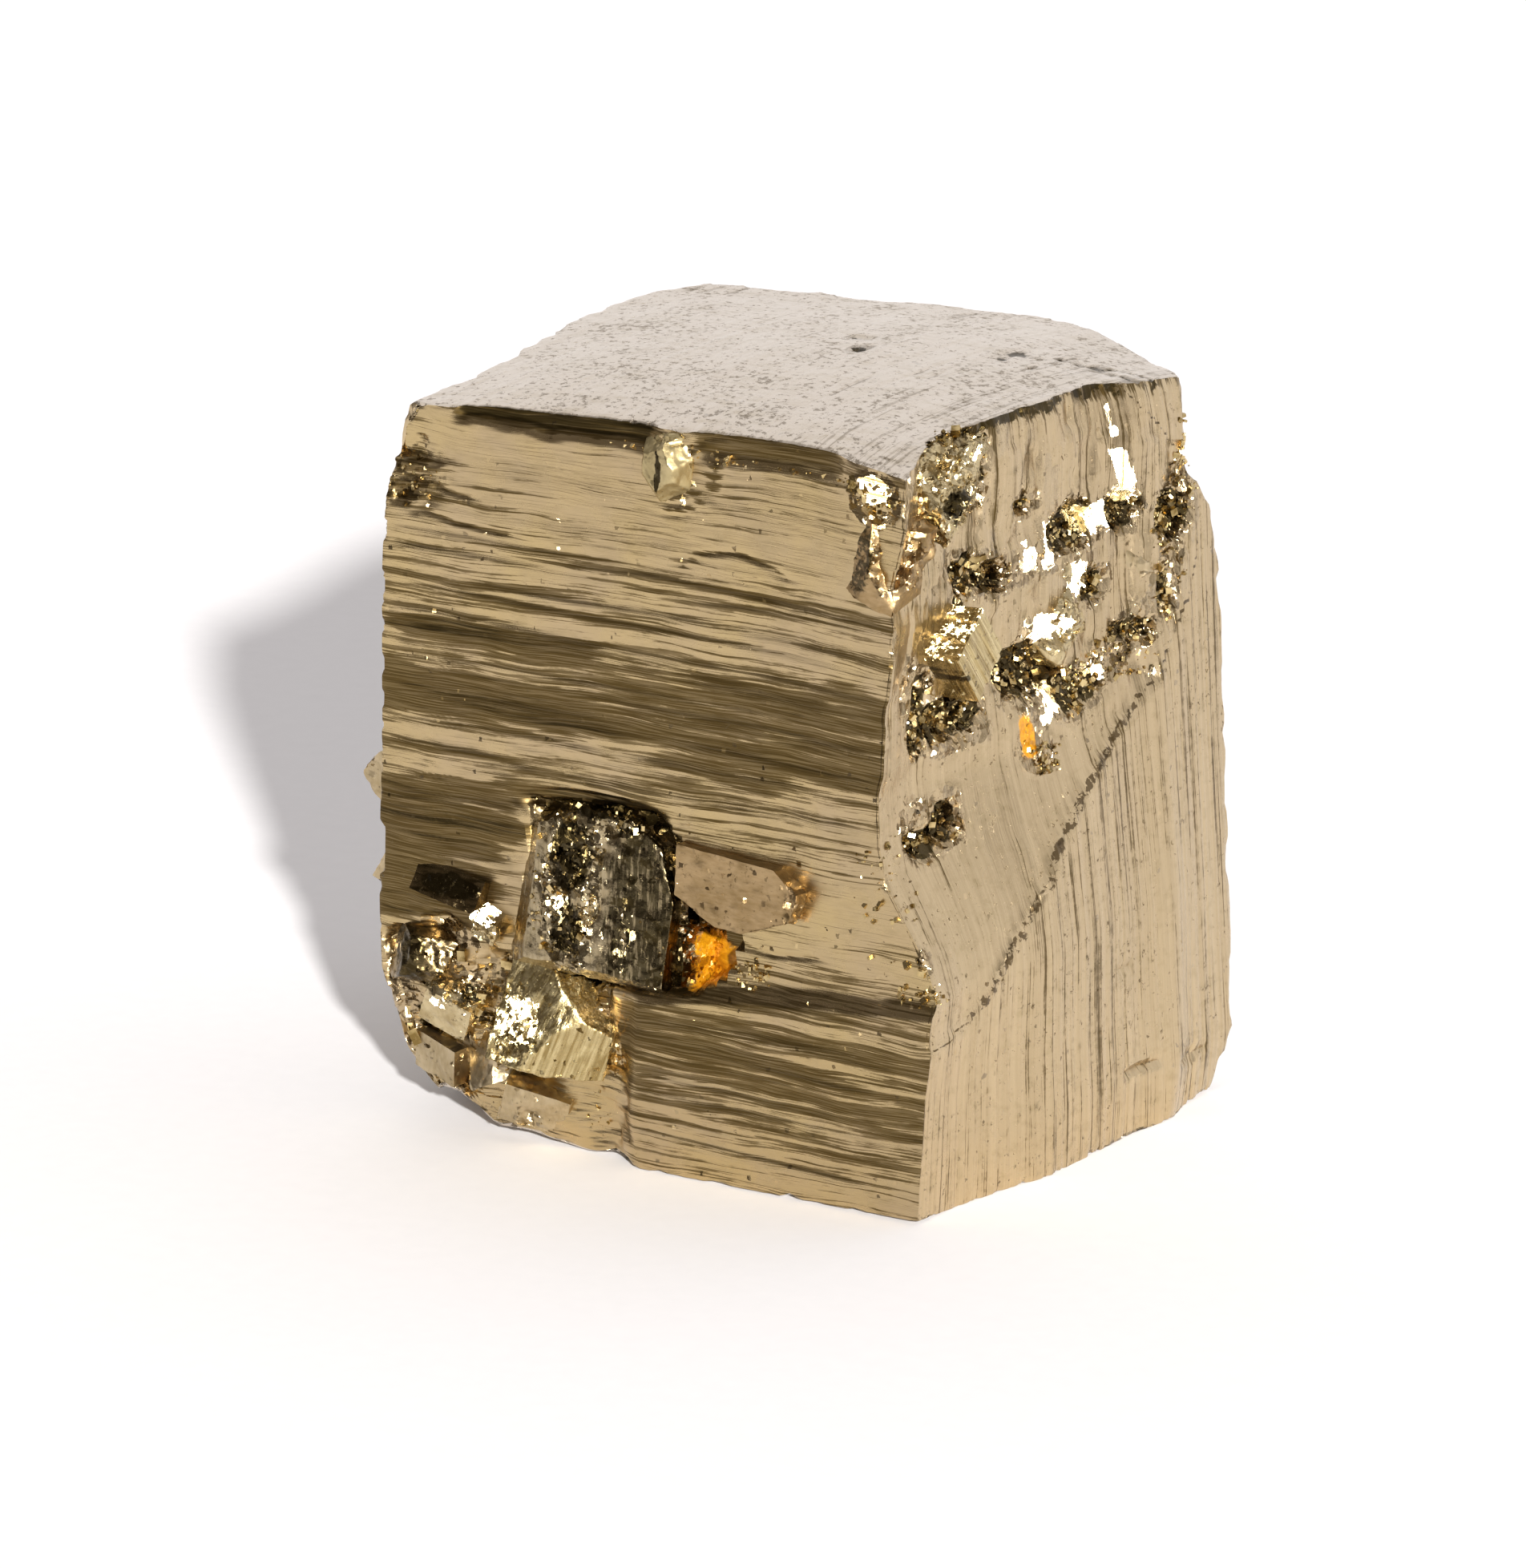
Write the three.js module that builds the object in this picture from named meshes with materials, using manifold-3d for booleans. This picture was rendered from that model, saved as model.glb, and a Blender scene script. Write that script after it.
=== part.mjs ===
// Pyrite specimen: one big striated cube of pyrite with smaller crystals grown into it.
// Millimetres, +Z up, front face towards -Y, standing on its flat underside.
import * as THREE from 'three';
import { mergeVertices } from 'three/addons/utils/BufferGeometryUtils.js';
import Module from 'manifold-3d';

const wasm = await Module();
wasm.setup();

// Driving dimensions.
const WIDTH = 34.2;
const DEPTH = 30.4;
const HEIGHT = 40;
const CELL = 2.5;
const SEAM = 0.3;
const BELLY = 0.9;
const TOP_SWELL = 0.4;

const PYRITE = { color: 0xb9a67c, roughness: 0.34, metalness: 0.9 };
const DARK_PYRITE = { color: 0x6d6350, roughness: 0.4, metalness: 0.9 };
const PALE_PYRITE = { color: 0xd9cba4, roughness: 0.28, metalness: 0.9 };

// How far each corner of the big cube strays from a true box: [dx, dy, dz].
// A corner is named by its side on X, Y and Z: L or R, F or B (front, back), D or U (down, up).
const CORNERS = {
  LFD: [2.9, 1.0, 1.6],
  RFD: [0.2, 0, 0.2],
  LBD: [0.7, -0.6, 0.2],
  RBD: [1.3, -2.0, 0.2],
  LFU: [1.9, -0.1, -0.5],
  RFU: [-0.8, 0, -0.2],
  LBU: [1.3, -0.2, 0],
  RBU: [-0.8, -2.9, -0.4],
};

// How far each edge strays between its two corners: [share of its length, dx, dy, dz].
const EDGES = [
  { ends: ['LFD', 'RFD'], stray: [[0.15, 0, 0.3, 1.9], [0.28, 0, 0, 0.5], [0.48, 0, 0, 0.1]] },
  { ends: ['LBD', 'RBD'], stray: [[0.3, 0, -0.3, 0], [0.7, 0, 0.2, 0]] },
  { ends: ['LFU', 'RFU'], stray: [[0.35, 0, 0.8, 0.1], [0.7, 0, 1.5, 0.3], [0.88, 0, 0.5, 0.1]] },
  { ends: ['LBU', 'RBU'], stray: [[0.15, 0, 0.8, 0], [0.6, 0, 3.2, 0], [0.8, 0, 0.8, -0.2]] },
  { ends: ['LFD', 'LBD'], stray: [[0.3, 0.4, 0, 0], [0.7, -0.2, 0, 0]] },
  { ends: ['RFD', 'RBD'], stray: [[0.24, 0.9, 0, 0], [0.6, 1.6, 0, 0], [0.8, 1.5, 0, 0]] },
  { ends: ['LFU', 'LBU'], stray: [[0.2, 2.5, 0, 0], [0.47, 1.1, 0, 0], [0.83, -0.3, 0, 0]] },
  { ends: ['RFU', 'RBU'], stray: [[0.1, -1.9, 0, 0.5], [0.5, -1.7, 0, 0.7], [0.8, -0.9, -0.8, 0.1]] },
  { ends: ['LFD', 'LFU'], stray: [[0.1, 1.1, 0.3, 0], [0.2, 0.3, 0, 0], [0.75, 0.5, 0, 0], [0.9, 1, 0, 0]] },
  { ends: ['RFD', 'RFU'], stray: [[0.31, 1.3, 0, 0], [0.4, -0.6, 0, 0], [0.5, -2.3, 0, 0], [0.8, -1.5, 0, 0]] },
  { ends: ['LBD', 'LBU'], stray: [[0.25, 0.4, 0.3, 0], [0.5, -0.3, -0.2, 0], [0.75, 0.2, 0.4, 0]] },
  { ends: ['RBD', 'RBU'], stray: [[0.08, 1.6, -1.1, 0], [0.7, 0.1, -0.4, 0], [0.86, -0.2, -2.8, 0]] },
];

// Crystals grown into the big cube, in the order they grew: an earlier one is cut by none of
// the later ones. Sizes are [along X, along Y, along Z] before the turn, and turns are degrees.
const CRYSTALS = [
  { name: 'dark_block_crystal', habit: 'cube', size: [10.8, 5.2, 9], at: [-3.2, -13.3, 14.4],
    turn: [-9, 3, -2], look: DARK_PYRITE },
  { name: 'plate_crystal', habit: 'plate', size: [8, 2.4, 3.9], at: [5.9, -15, 15.9],
    turn: [-1, 3, 0], look: PYRITE },
  { name: 'pale_striated_crystal', habit: 'trimmed_cube', size: [5.8, 5.2, 4.8], at: [-5.9, -14.4, 6.8],
    turn: [-16, 14, 22], look: PALE_PYRITE },
  { name: 'dark_prism_crystal', habit: 'cube', size: [4, 3.2, 1.7], at: [-12.3, -14.4, 13.2],
    turn: [-28, 10, -8], look: DARK_PYRITE },
  { name: 'glinting_cube_crystal', habit: 'cube', size: [1.5, 1.9, 1.5], at: [-10.1, -15.3, 11.4],
    turn: [24, 20, 10], look: PALE_PYRITE },
  { name: 'rough_lump_crystal', habit: 'pyritohedron', size: [3.7, 3, 3.2], at: [-14.2, -14.8, 9.4],
    turn: [10, 15, 0], look: DARK_PYRITE },
  { name: 'small_clustered_crystal', habit: 'trimmed_cube', size: [2.8, 2.8, 2.6], at: [-12.3, -14.6, 7.3],
    turn: [30, 25, 15], look: PALE_PYRITE },
  { name: 'square_facet_crystal', habit: 'cube', size: [3.1, 3, 2.2], at: [-13.2, -13.4, 3.9],
    turn: [8, 12, -14], look: PALE_PYRITE },
  { name: 'grey_facet_crystal', habit: 'trimmed_cube', size: [3.6, 3.4, 2.8], at: [-9.8, -13.9, 4.4],
    turn: [-10, -18, 12], look: PYRITE },
  { name: 'foot_crystal', habit: 'trimmed_cube', size: [3.6, 3.4, 2.5], at: [-7.3, -14.2, 2.5],
    turn: [12, 16, 24], look: PYRITE },
  { name: 'left_face_crystal', habit: 'trimmed_cube', size: [4.6, 4.8, 5.4], at: [-16.9, -11.6, 18.2],
    turn: [12, 34, 10], look: PALE_PYRITE },
  { name: 'small_left_face_crystal', habit: 'cube', size: [1.9, 2, 1.9], at: [-17, -12.9, 13.7],
    turn: [20, 30, 15], look: PYRITE },
  { name: 'knob_crystal', habit: 'pyritohedron', size: [2.8, 3, 3.6], at: [-0.3, -13.8, 38.1],
    turn: [12, 0, 20], look: PALE_PYRITE },
  { name: 'edge_crystal', habit: 'trimmed_cube', size: [3.6, 3.4, 3.8], at: [13.9, -13.4, 35.2],
    turn: [15, 38, 18], look: DARK_PYRITE },
  { name: 'top_corner_crystal', habit: 'pyritohedron', size: [4.4, 6, 4.2], at: [14, -9.4, 38.1],
    turn: [8, 0, 12], look: PYRITE },
  { name: 'tilted_cube_crystal', habit: 'cube', size: [3.4, 3.6, 3.4], at: [14.3, -8.5, 29.1],
    turn: [40, 0, 2], look: PALE_PYRITE },
  { name: 'bright_stepped_crystal', habit: 'trimmed_cube', size: [3, 5.2, 3.8], at: [14.7, 1.2, 29.4],
    turn: [32, 6, 4], look: PALE_PYRITE },
  { name: 'rounded_crystal', habit: 'pyritohedron', size: [3, 4, 3.2], at: [15.4, 8.1, 30.2],
    turn: [0, 10, 0], look: PYRITE },
];

// Open pits in the big cube, as rounded hollows: centre and full size.
const PITS = [
  { at: [15.4, -5.6, 32.5], size: [3, 4.2, 2] },
  { at: [15.5, -1.9, 26.2], size: [3, 5, 2.8] },
  { at: [14.9, -8.6, 25.1], size: [2.4, 4.4, 2.2] },
  { at: [15.2, -9.6, 19.8], size: [2.6, 2.4, 1.8] },
  { at: [16, 2, 33.6], size: [2.2, 3, 2.2] },
  { at: [16, 7.2, 33.5], size: [2.2, 3, 1.8] },
  { at: [16.2, 11.4, 32.6], size: [2.4, 3, 2.6] },
  { at: [3.3, -15.6, 12.6], size: [3.4, 4.6, 3.6] },
  { at: [-12.6, -15.4, 5.9], size: [2.4, 2.4, 1.8] },
];

function cornerShare(name) {
  return [Number(name[0] === 'R'), Number(name[1] === 'B'), Number(name[2] === 'U')];
}

// Straight-line reading of a list of [share, dx, dy, dz] at one share.
function readStray(points, share) {
  const next = Math.max(1, points.findIndex((point) => point[0] >= share));
  const [from, to] = [points[next - 1], points[next]];
  const part = (share - from[0]) / (to[0] - from[0]);
  return new THREE.Vector3(...[1, 2, 3].map((axis) => THREE.MathUtils.lerp(from[axis], to[axis], part)));
}

// How near a point of the unit box is to a corner or an edge, along the axes given.
function nearness(place, corner, axes) {
  return axes.reduce((total, axis) => total * (corner[axis] ? place[axis] : 1 - place[axis]), 1);
}

// Moves one point of the unit box to its place on the big cube.
function placeOnCube(point) {
  const place = point.toArray();
  const moved = new THREE.Vector3((point.x - 0.5) * WIDTH, (point.y - 0.5) * DEPTH, point.z * HEIGHT);
  for (const { ends, stray } of EDGES) {
    const [from, to] = ends.map(cornerShare);
    const along = from.findIndex((value, axis) => value !== to[axis]);
    const across = [0, 1, 2].filter((axis) => axis !== along);
    const points = [[0, ...CORNERS[ends[0]]], ...stray, [1, ...CORNERS[ends[1]]]];
    moved.addScaledVector(readStray(points, place[along]), nearness(place, from, across));
  }
  for (const [name, offset] of Object.entries(CORNERS)) {
    const weight = nearness(place, cornerShare(name), [0, 1, 2]);
    moved.addScaledVector(new THREE.Vector3(...offset), -2 * weight);
  }
  const middle = Math.sin(Math.PI * point.x) * Math.sin(Math.PI * point.y);
  moved.z += middle * (TOP_SWELL * point.z - BELLY * (1 - point.z));
  return moved;
}

function bigCubeGeometry() {
  const cells = [WIDTH, DEPTH, HEIGHT].map((length) => Math.round(length / CELL));
  const geometry = new THREE.BoxGeometry(1, 1, 1, ...cells);
  geometry.translate(0.5, 0.5, 0.5);
  const position = geometry.attributes.position;
  const point = new THREE.Vector3();
  for (let i = 0; i < position.count; i += 1) {
    point.fromBufferAttribute(position, i).clampScalar(0, 1);
    position.setXYZ(i, ...placeOnCube(point));
  }
  return geometry;
}

// A closed three.js geometry as a solid that can be joined and cut.
function toSolid(geometry) {
  const bare = geometry.clone();
  bare.deleteAttribute('normal');
  bare.deleteAttribute('uv');
  const merged = mergeVertices(bare.index ? bare : mergeVertices(bare), 1e-4);
  return new wasm.Manifold(new wasm.Mesh({
    numProp: 3,
    vertProperties: new Float32Array(merged.attributes.position.array),
    triVerts: new Uint32Array(merged.index.array),
  }));
}

function toGeometry(solid) {
  const { vertProperties, triVerts } = solid.getMesh();
  const geometry = new THREE.BufferGeometry();
  geometry.setAttribute('position', new THREE.BufferAttribute(vertProperties, 3));
  geometry.setIndex(new THREE.BufferAttribute(triVerts, 1));
  geometry.computeVertexNormals();
  return geometry;
}

// The three habits of the smaller crystals, each filling a box of the given size.
const HABITS = {
  cube: (size) => toSolid(new THREE.BoxGeometry(...size)),
  trimmed_cube: (size) => {
    const trim = new THREE.OctahedronGeometry(1.24).scale(...size);
    return toSolid(new THREE.BoxGeometry(...size)).intersect(toSolid(trim));
  },
  pyritohedron: (size) => {
    const geometry = new THREE.DodecahedronGeometry(0.6).scale(...size);
    return toSolid(geometry);
  },
  plate: ([width, depth, height]) => {
    const outline = new THREE.Shape();
    outline.moveTo(-0.5 * width, 0.5 * height);
    outline.lineTo(0.29 * width, 0.5 * height);
    outline.lineTo(0.5 * width, 0);
    outline.lineTo(0.45 * width, -0.32 * height);
    outline.lineTo(-0.05 * width, -0.5 * height);
    outline.lineTo(-0.26 * width, -0.37 * height);
    const geometry = new THREE.ExtrudeGeometry(outline, { depth, bevelEnabled: false });
    return toSolid(geometry.rotateX(Math.PI / 2).translate(0, depth / 2, 0));
  },
};

// One crystal in its place, grown on every side by the given amount.
function crystalSolid({ habit, size, at, turn }, growth = 0) {
  const angles = turn.map(THREE.MathUtils.degToRad);
  const matrix = new THREE.Matrix4().makeRotationFromEuler(new THREE.Euler(...angles));
  matrix.setPosition(...at);
  return HABITS[habit](size.map((length) => length + 2 * growth)).transform(matrix.elements);
}

function pitSolid({ at, size }) {
  const geometry = new THREE.IcosahedronGeometry(0.5, 1).scale(...size).translate(...at);
  return toSolid(geometry);
}

// Everything below the standing plane, to leave a flat underside.
function groundSolid() {
  const reach = 3 * WIDTH;
  return toSolid(new THREE.BoxGeometry(reach, reach, HEIGHT).translate(0, 0, -HEIGHT / 2));
}

function namedMesh(name, solid, look) {
  const mesh = new THREE.Mesh(toGeometry(solid), new THREE.MeshStandardMaterial(look));
  mesh.name = name;
  return mesh;
}

function specimen() {
  const group = new THREE.Group();
  const ground = groundSolid();
  let host = toSolid(bigCubeGeometry()).subtract(ground);
  for (const pit of PITS) host = host.subtract(pitSolid(pit));
  const sockets = [];
  for (const crystal of CRYSTALS) {
    let solid = crystalSolid(crystal).subtract(ground);
    for (const socket of sockets) solid = solid.subtract(socket);
    const socket = crystalSolid(crystal, SEAM);
    sockets.push(socket);
    host = host.subtract(socket);
    group.add(namedMesh(crystal.name, solid, crystal.look));
  }
  group.add(namedMesh('host_crystal', host, PYRITE));
  return group;
}

// The origin is the middle of the underside of the whole specimen's box.
const pyrite = specimen();
const box = new THREE.Box3().setFromObject(pyrite);
const middle = box.getCenter(new THREE.Vector3());
pyrite.position.set(-middle.x, -middle.y, -box.min.z);

export default pyrite;
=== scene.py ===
"""Pyrite specimen: one big striated cube of pyrite with smaller crystals grown into it."""

import math

import bmesh
import bpy
import numpy as np
from mathutils import Euler, Matrix, Vector


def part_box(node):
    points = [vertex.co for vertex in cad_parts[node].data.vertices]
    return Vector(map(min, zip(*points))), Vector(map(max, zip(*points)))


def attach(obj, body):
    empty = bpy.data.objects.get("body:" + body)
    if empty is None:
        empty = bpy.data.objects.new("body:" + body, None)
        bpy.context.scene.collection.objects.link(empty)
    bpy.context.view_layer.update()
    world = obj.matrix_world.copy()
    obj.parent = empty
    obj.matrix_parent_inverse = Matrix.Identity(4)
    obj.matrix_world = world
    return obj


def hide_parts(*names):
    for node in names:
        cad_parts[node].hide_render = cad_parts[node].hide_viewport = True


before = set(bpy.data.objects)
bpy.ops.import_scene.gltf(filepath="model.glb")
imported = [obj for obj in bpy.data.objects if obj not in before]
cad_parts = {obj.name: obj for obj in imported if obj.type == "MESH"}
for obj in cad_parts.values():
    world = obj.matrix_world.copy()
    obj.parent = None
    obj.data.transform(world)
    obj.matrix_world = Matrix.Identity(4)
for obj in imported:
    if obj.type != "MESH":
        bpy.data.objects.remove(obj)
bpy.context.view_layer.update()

# Shapes are worked out in millimetres round HOME, the middle of the big cube's underside.
MM = 0.001
HOST_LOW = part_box("host_crystal")[0]
HOST_LEFT = 18.59
HOST_FRONT = 15.62
HOME = Vector((HOST_LOW.x + HOST_LEFT * MM, HOST_LOW.y + HOST_FRONT * MM, HOST_LOW.z))

# The big cube's sides.
WIDTH = 34.2
DEPTH = 30.4
HEIGHT = 40.0

# Where the sun stands, where the eye stands, and the way a facet must face to flash.
TO_SUN = Vector((0.623, -0.693, 0.366)).normalized()
TO_EYE = Vector((0.519, -0.809, 0.277)).normalized()
FLASH = (TO_SUN + TO_EYE).normalized()


# ---------------------------------------------------------------- random fields and masks


def hashed(cell, seed):
    """A fixed random number from -1 to 1 for each row of three whole numbers."""
    number = cell @ np.array((73856093, 19349663, 83492791)) + seed * 40503
    number = (number ^ (number >> 13)) * 1274126177
    number = (number ^ (number >> 16)) & 0xFFFF
    return number / 32767.5 - 1


def field(a, b, seed, c=0):
    """Smooth random field from -1 to 1, one bump per unit of a, b and c."""
    place = np.stack(np.broadcast_arrays(a, b, c), -1).astype(float)
    cell = np.floor(place).astype(np.int64)
    part = place - cell
    ease = part * part * (3 - 2 * part)
    total = 0
    for corner in np.ndindex(2, 2, 1 if np.ndim(c) == 0 else 2):
        share = np.abs(1 - np.array(corner) - ease).prod(axis=-1)
        total = total + hashed(cell + corner, seed) * share
    return total


def layered(a, b, seed, layers=4, gain=0.55, c=0):
    """Random field with finer and fainter layers added to it."""
    total, size = 0, 1.0
    for layer in range(layers):
        zoom = 2**layer
        total = total + size * field(a * zoom, b * zoom, seed + 17 * layer, c * zoom)
        size *= gain
    return total


def ease_in(value, low, high):
    """0 below low, 1 above high and a smooth rise between."""
    part = np.clip((value - low) / (high - low), 0, 1)
    return part * part * (3 - 2 * part)


def window(value, low, high, soft):
    """1 between low and high, fading to 0 over soft outside them."""
    return ease_in(value, low - soft, low) * (1 - ease_in(value, high, high + soft))


def patch(a, b, centre, size, soft=0.35):
    """1 inside an ellipse of the given full size, fading to 0 over soft times its radius."""
    far = np.hypot((a - centre[0]) / (size[0] / 2), (b - centre[1]) / (size[1] / 2))
    return 1 - ease_in(far, 1 - soft / 2, 1 + soft / 2)


def tile(a, b, centre, size, soft=0.35):
    """Like a patch, but with straight sides."""
    far = np.maximum(np.abs(a - centre[0]) / (size[0] / 2), np.abs(b - centre[1]) / (size[1] / 2))
    return 1 - ease_in(far, 1 - soft / 2, 1 + soft / 2)


def distance_to(a, b, points):
    """Distance from a broken line."""
    nearest = np.full(np.shape(a), np.inf)
    for (ax, ay), (bx, by) in zip(points, points[1:]):
        run, rise = bx - ax, by - ay
        along = np.clip(((a - ax) * run + (b - ay) * rise) / (run * run + rise * rise), 0, 1)
        nearest = np.minimum(nearest, np.hypot(a - ax - along * run, b - ay - along * rise))
    return nearest


def depth_inside(a, b, outline):
    """Distance from the nearest side of an outline: above 0 inside, below 0 outside."""
    closed = [*outline, outline[0]]
    nearest = distance_to(a, b, closed)
    inside = np.zeros(np.shape(a), bool)
    for (ax, ay), (bx, by) in zip(closed, closed[1:]):
        crosses = (ay > b) != (by > b)
        inside ^= crosses & (a < ax + (b - ay) * (bx - ax) / ((by - ay) or 1e-9))
    return np.where(inside, nearest, -nearest)


# ---------------------------------------------------------------- shader maths


class Socket:
    """A shader socket that works in Python sums."""

    def __init__(self, shader, socket):
        self.shader = shader
        self.socket = socket

    def _math(self, operation, first, second):
        return self.shader.math(operation, first, second)

    def __add__(self, other):
        return self._math("ADD", self, other)

    def __radd__(self, other):
        return self._math("ADD", other, self)

    def __sub__(self, other):
        return self._math("SUBTRACT", self, other)

    def __rsub__(self, other):
        return self._math("SUBTRACT", other, self)

    def __mul__(self, other):
        return self._math("MULTIPLY", self, other)

    def __rmul__(self, other):
        return self._math("MULTIPLY", other, self)


class Node:
    """A shader node whose outputs are asked for by name or number."""

    def __init__(self, shader, node):
        self.shader = shader
        self.node = node

    def out(self, key):
        return Socket(self.shader, self.node.outputs[key])


class Shader:
    """The nodes of one material or of the world."""

    def __init__(self, tree):
        self.tree = tree
        tree.nodes.clear()

    def node(self, kind, settings=None, inputs=None):
        """Adds a node: its settings first, then the values or links of its sockets."""
        made = self.tree.nodes.new(kind)
        for key, value in (settings or {}).items():
            if key == "stops":
                self._set_stops(made.color_ramp, value)
            else:
                setattr(made, key, value)
        for key, value in (inputs or {}).items():
            if isinstance(value, Socket):
                self.tree.links.new(value.socket, made.inputs[key])
            else:
                made.inputs[key].default_value = value
        return Node(self, made)

    @staticmethod
    def _set_stops(ramp, stops):
        while len(ramp.elements) < len(stops):
            ramp.elements.new(1.0)
        for element, (place, shade) in zip(ramp.elements, stops):
            element.position = place
            element.color = (shade, shade, shade, 1)

    def math(self, operation, first, second):
        """One number from two."""
        inputs = {0: first, 1: second}
        return self.node("ShaderNodeMath", {"operation": operation}, inputs).out(0)

    def ramp(self, value, *stops):
        """Reads a value through a curve of (place, result) stops."""
        return self.node("ShaderNodeValToRGB", {"stops": stops}, {0: value}).out(0)

    def rise(self, value, low, high):
        """0 below low, 1 above high and a straight rise between."""
        return self.ramp(value, (low, 0.0), (high, 1.0))

    def mix(self, share, first, second):
        """Colour between two colours."""
        inputs = {0: share, 6: first, 7: second}
        return self.node("ShaderNodeMix", {"data_type": "RGBA"}, inputs).out(2)

    def vector(self, operation, first, second=(0, 0, 0)):
        """Vector sum, product or dot product."""
        made = self.node("ShaderNodeVectorMath", {"operation": operation}, {0: first, 1: second})
        return made.out(1 if operation == "DOT_PRODUCT" else 0)

    def scaled(self, vector, size):
        """A vector times a number."""
        inputs = {0: vector, 3: size}
        return self.node("ShaderNodeVectorMath", {"operation": "SCALE"}, inputs).out(0)

    def split(self, colour):
        """The three numbers of a colour."""
        made = self.node("ShaderNodeSeparateColor", {}, {0: colour})
        return [made.out(index) for index in range(3)]

    def object_mm(self, stretch=(1, 1, 1), lean=(0, 0, 0)):
        """Object coordinates in millimetres, leaned over and then stretched along the axes."""
        place = self.node("ShaderNodeTexCoord").out("Object")
        if any(lean):
            place = self.node("ShaderNodeMapping", {}, {"Vector": place, "Rotation": lean}).out(0)
        return self.vector("MULTIPLY", place, [value / MM for value in stretch])

    def noise(self, stretch, scale, detail=3.0, rough=0.55, lean=(0, 0, 0), bend=None):
        """Grain with the given scale per millimetre, stretched along the axes and bent up or down."""
        place = self.object_mm(stretch, lean)
        if bend is not None:
            place = self.vector("ADD", place, bend)
        inputs = {"Vector": place, "Scale": scale, "Detail": detail, "Roughness": rough}
        return self.node("ShaderNodeTexNoise", {}, inputs).out(0)

    def crumbs(self, scale, stretch=(1, 1, 1), lean=(0, 0, 0)):
        """A random colour for each crumb of a broken surface."""
        inputs = {"Vector": self.object_mm(stretch, lean), "Scale": scale}
        return self.node("ShaderNodeTexVoronoi", {"distance": "CHEBYCHEV"}, inputs).out("Color")

    def facets(self, crumbs, share, gleam):
        """Normals that jump from crumb to crumb, and where gleam is 1 all lie near one way."""
        swing = self.vector("SUBTRACT", crumbs, (0.5, 0.5, 0.5))
        normal = self.node("ShaderNodeNewGeometry").out("Normal")
        tilted = self.vector("ADD", normal, self.scaled(swing, share * FACET_TILT))
        tilted = self.vector("NORMALIZE", tilted)
        parallel = self.vector("ADD", self.scaled(swing, GLEAM_SPREAD), tuple(FLASH))
        return self.vector("NORMALIZE", self.mix(gleam, tilted, parallel))


# ---------------------------------------------------------------- finishes

# Grain drawn out along each axis.
ALONG_X = (0.016, 0.03, 1.0)
ALONG_Z = (0.03, 1.0, 0.016)
ALONG_Y = (1.0, 0.02, 0.03)
# How far the broken facets lie turned from the cube, how far they tilt out of the surface, and
# how far the facets of one gleam stray from each other.
CHUNK_LEAN = (0.6, 0.35, 0.5)
FACET_TILT = 1.7
GLEAM_SPREAD = 0.14

# Clean metal of the big cube. The sides get a lighter, paler brass than the front as painted light,
# standing in for the brighter light they take; the top is paler still.
WARM_BRASS = (0.545, 0.415, 0.21, 1)
COOL_BRASS = (0.52, 0.4, 0.235, 1)
SIDE_BRASS_PAINTED_LIGHTER = (0.6, 0.475, 0.295, 1)
TOP_SILVER = (0.68, 0.61, 0.525, 1)
BAND_BROWN = (0.4, 0.3, 0.17, 1)
BLOTCH_BROWN = (0.33, 0.25, 0.12, 1)
# Tarnishing, dirt and rust of the big cube. The two tarnished browns and the pit brown also serve as
# painted shade: on dark striae that lean back, in grooves and in a crease.
TARNISH_AND_SHADE_BROWN = (0.088, 0.055, 0.014, 1)
DEEP_TARNISH_AND_SHADE = (0.03, 0.021, 0.007, 1)
SPECK = (0.08, 0.05, 0.02, 1)
RIM_DIRT = (0.09, 0.057, 0.024, 1)
PIT_DIRT_AND_SHADE = (0.05, 0.035, 0.012, 1)
RUST_BROWN = (0.2, 0.05, 0.002, 1)
RUST_ORANGE = (1.0, 0.47, 0.012, 1)
# Tarnishing and dirt of the smaller crystals; the first brown also paints shadow where a dark mark stands
# for one.
CRYSTAL_TARNISH_AND_SHADE = (0.055, 0.042, 0.018, 1)
CRYSTAL_SPECK = (0.06, 0.04, 0.015, 1)
CRYSTAL_PIT = (0.045, 0.032, 0.012, 1)


def new_material(name):
    """An empty material and the shader that fills it."""
    material = bpy.data.materials.new(name)
    material.use_nodes = True
    return material, Shader(material.node_tree)


def close_material(shader, sockets, bump, normal=None):
    """Ends a material in a surface with a bump of (height, depth in mm, strength)."""
    height, depth, strength = bump
    inputs = {"Height": height, "Distance": depth * MM, "Strength": strength}
    if normal is not None:
        inputs["Normal"] = normal
    relief = shader.node("ShaderNodeBump", {}, inputs).out(0)
    surface = shader.node("ShaderNodeBsdfPrincipled", {}, {**sockets, "Normal": relief})
    shader.node("ShaderNodeOutputMaterial", {}, {0: surface.out(0)})


def read_marks(shader, name):
    """The three numbers of a colour attribute."""
    return shader.split(shader.node("ShaderNodeAttribute", {"attribute_name": name}).out("Color"))


def broken_grain(shader, crumb_scale, chunk_scale):
    """Chances of the crumbs and of the bigger chunks of a broken surface, and both as one patchwork."""
    crumbs = shader.crumbs(crumb_scale)
    chunks = shader.crumbs(chunk_scale, lean=CHUNK_LEAN)
    crumb_chances, chunk_chances = shader.split(crumbs), shader.split(chunks)
    patchwork = shader.mix(shader.rise(chunk_chances[2], 0.3, 0.7), crumbs, chunks)
    return crumb_chances, chunk_chances, patchwork


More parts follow.
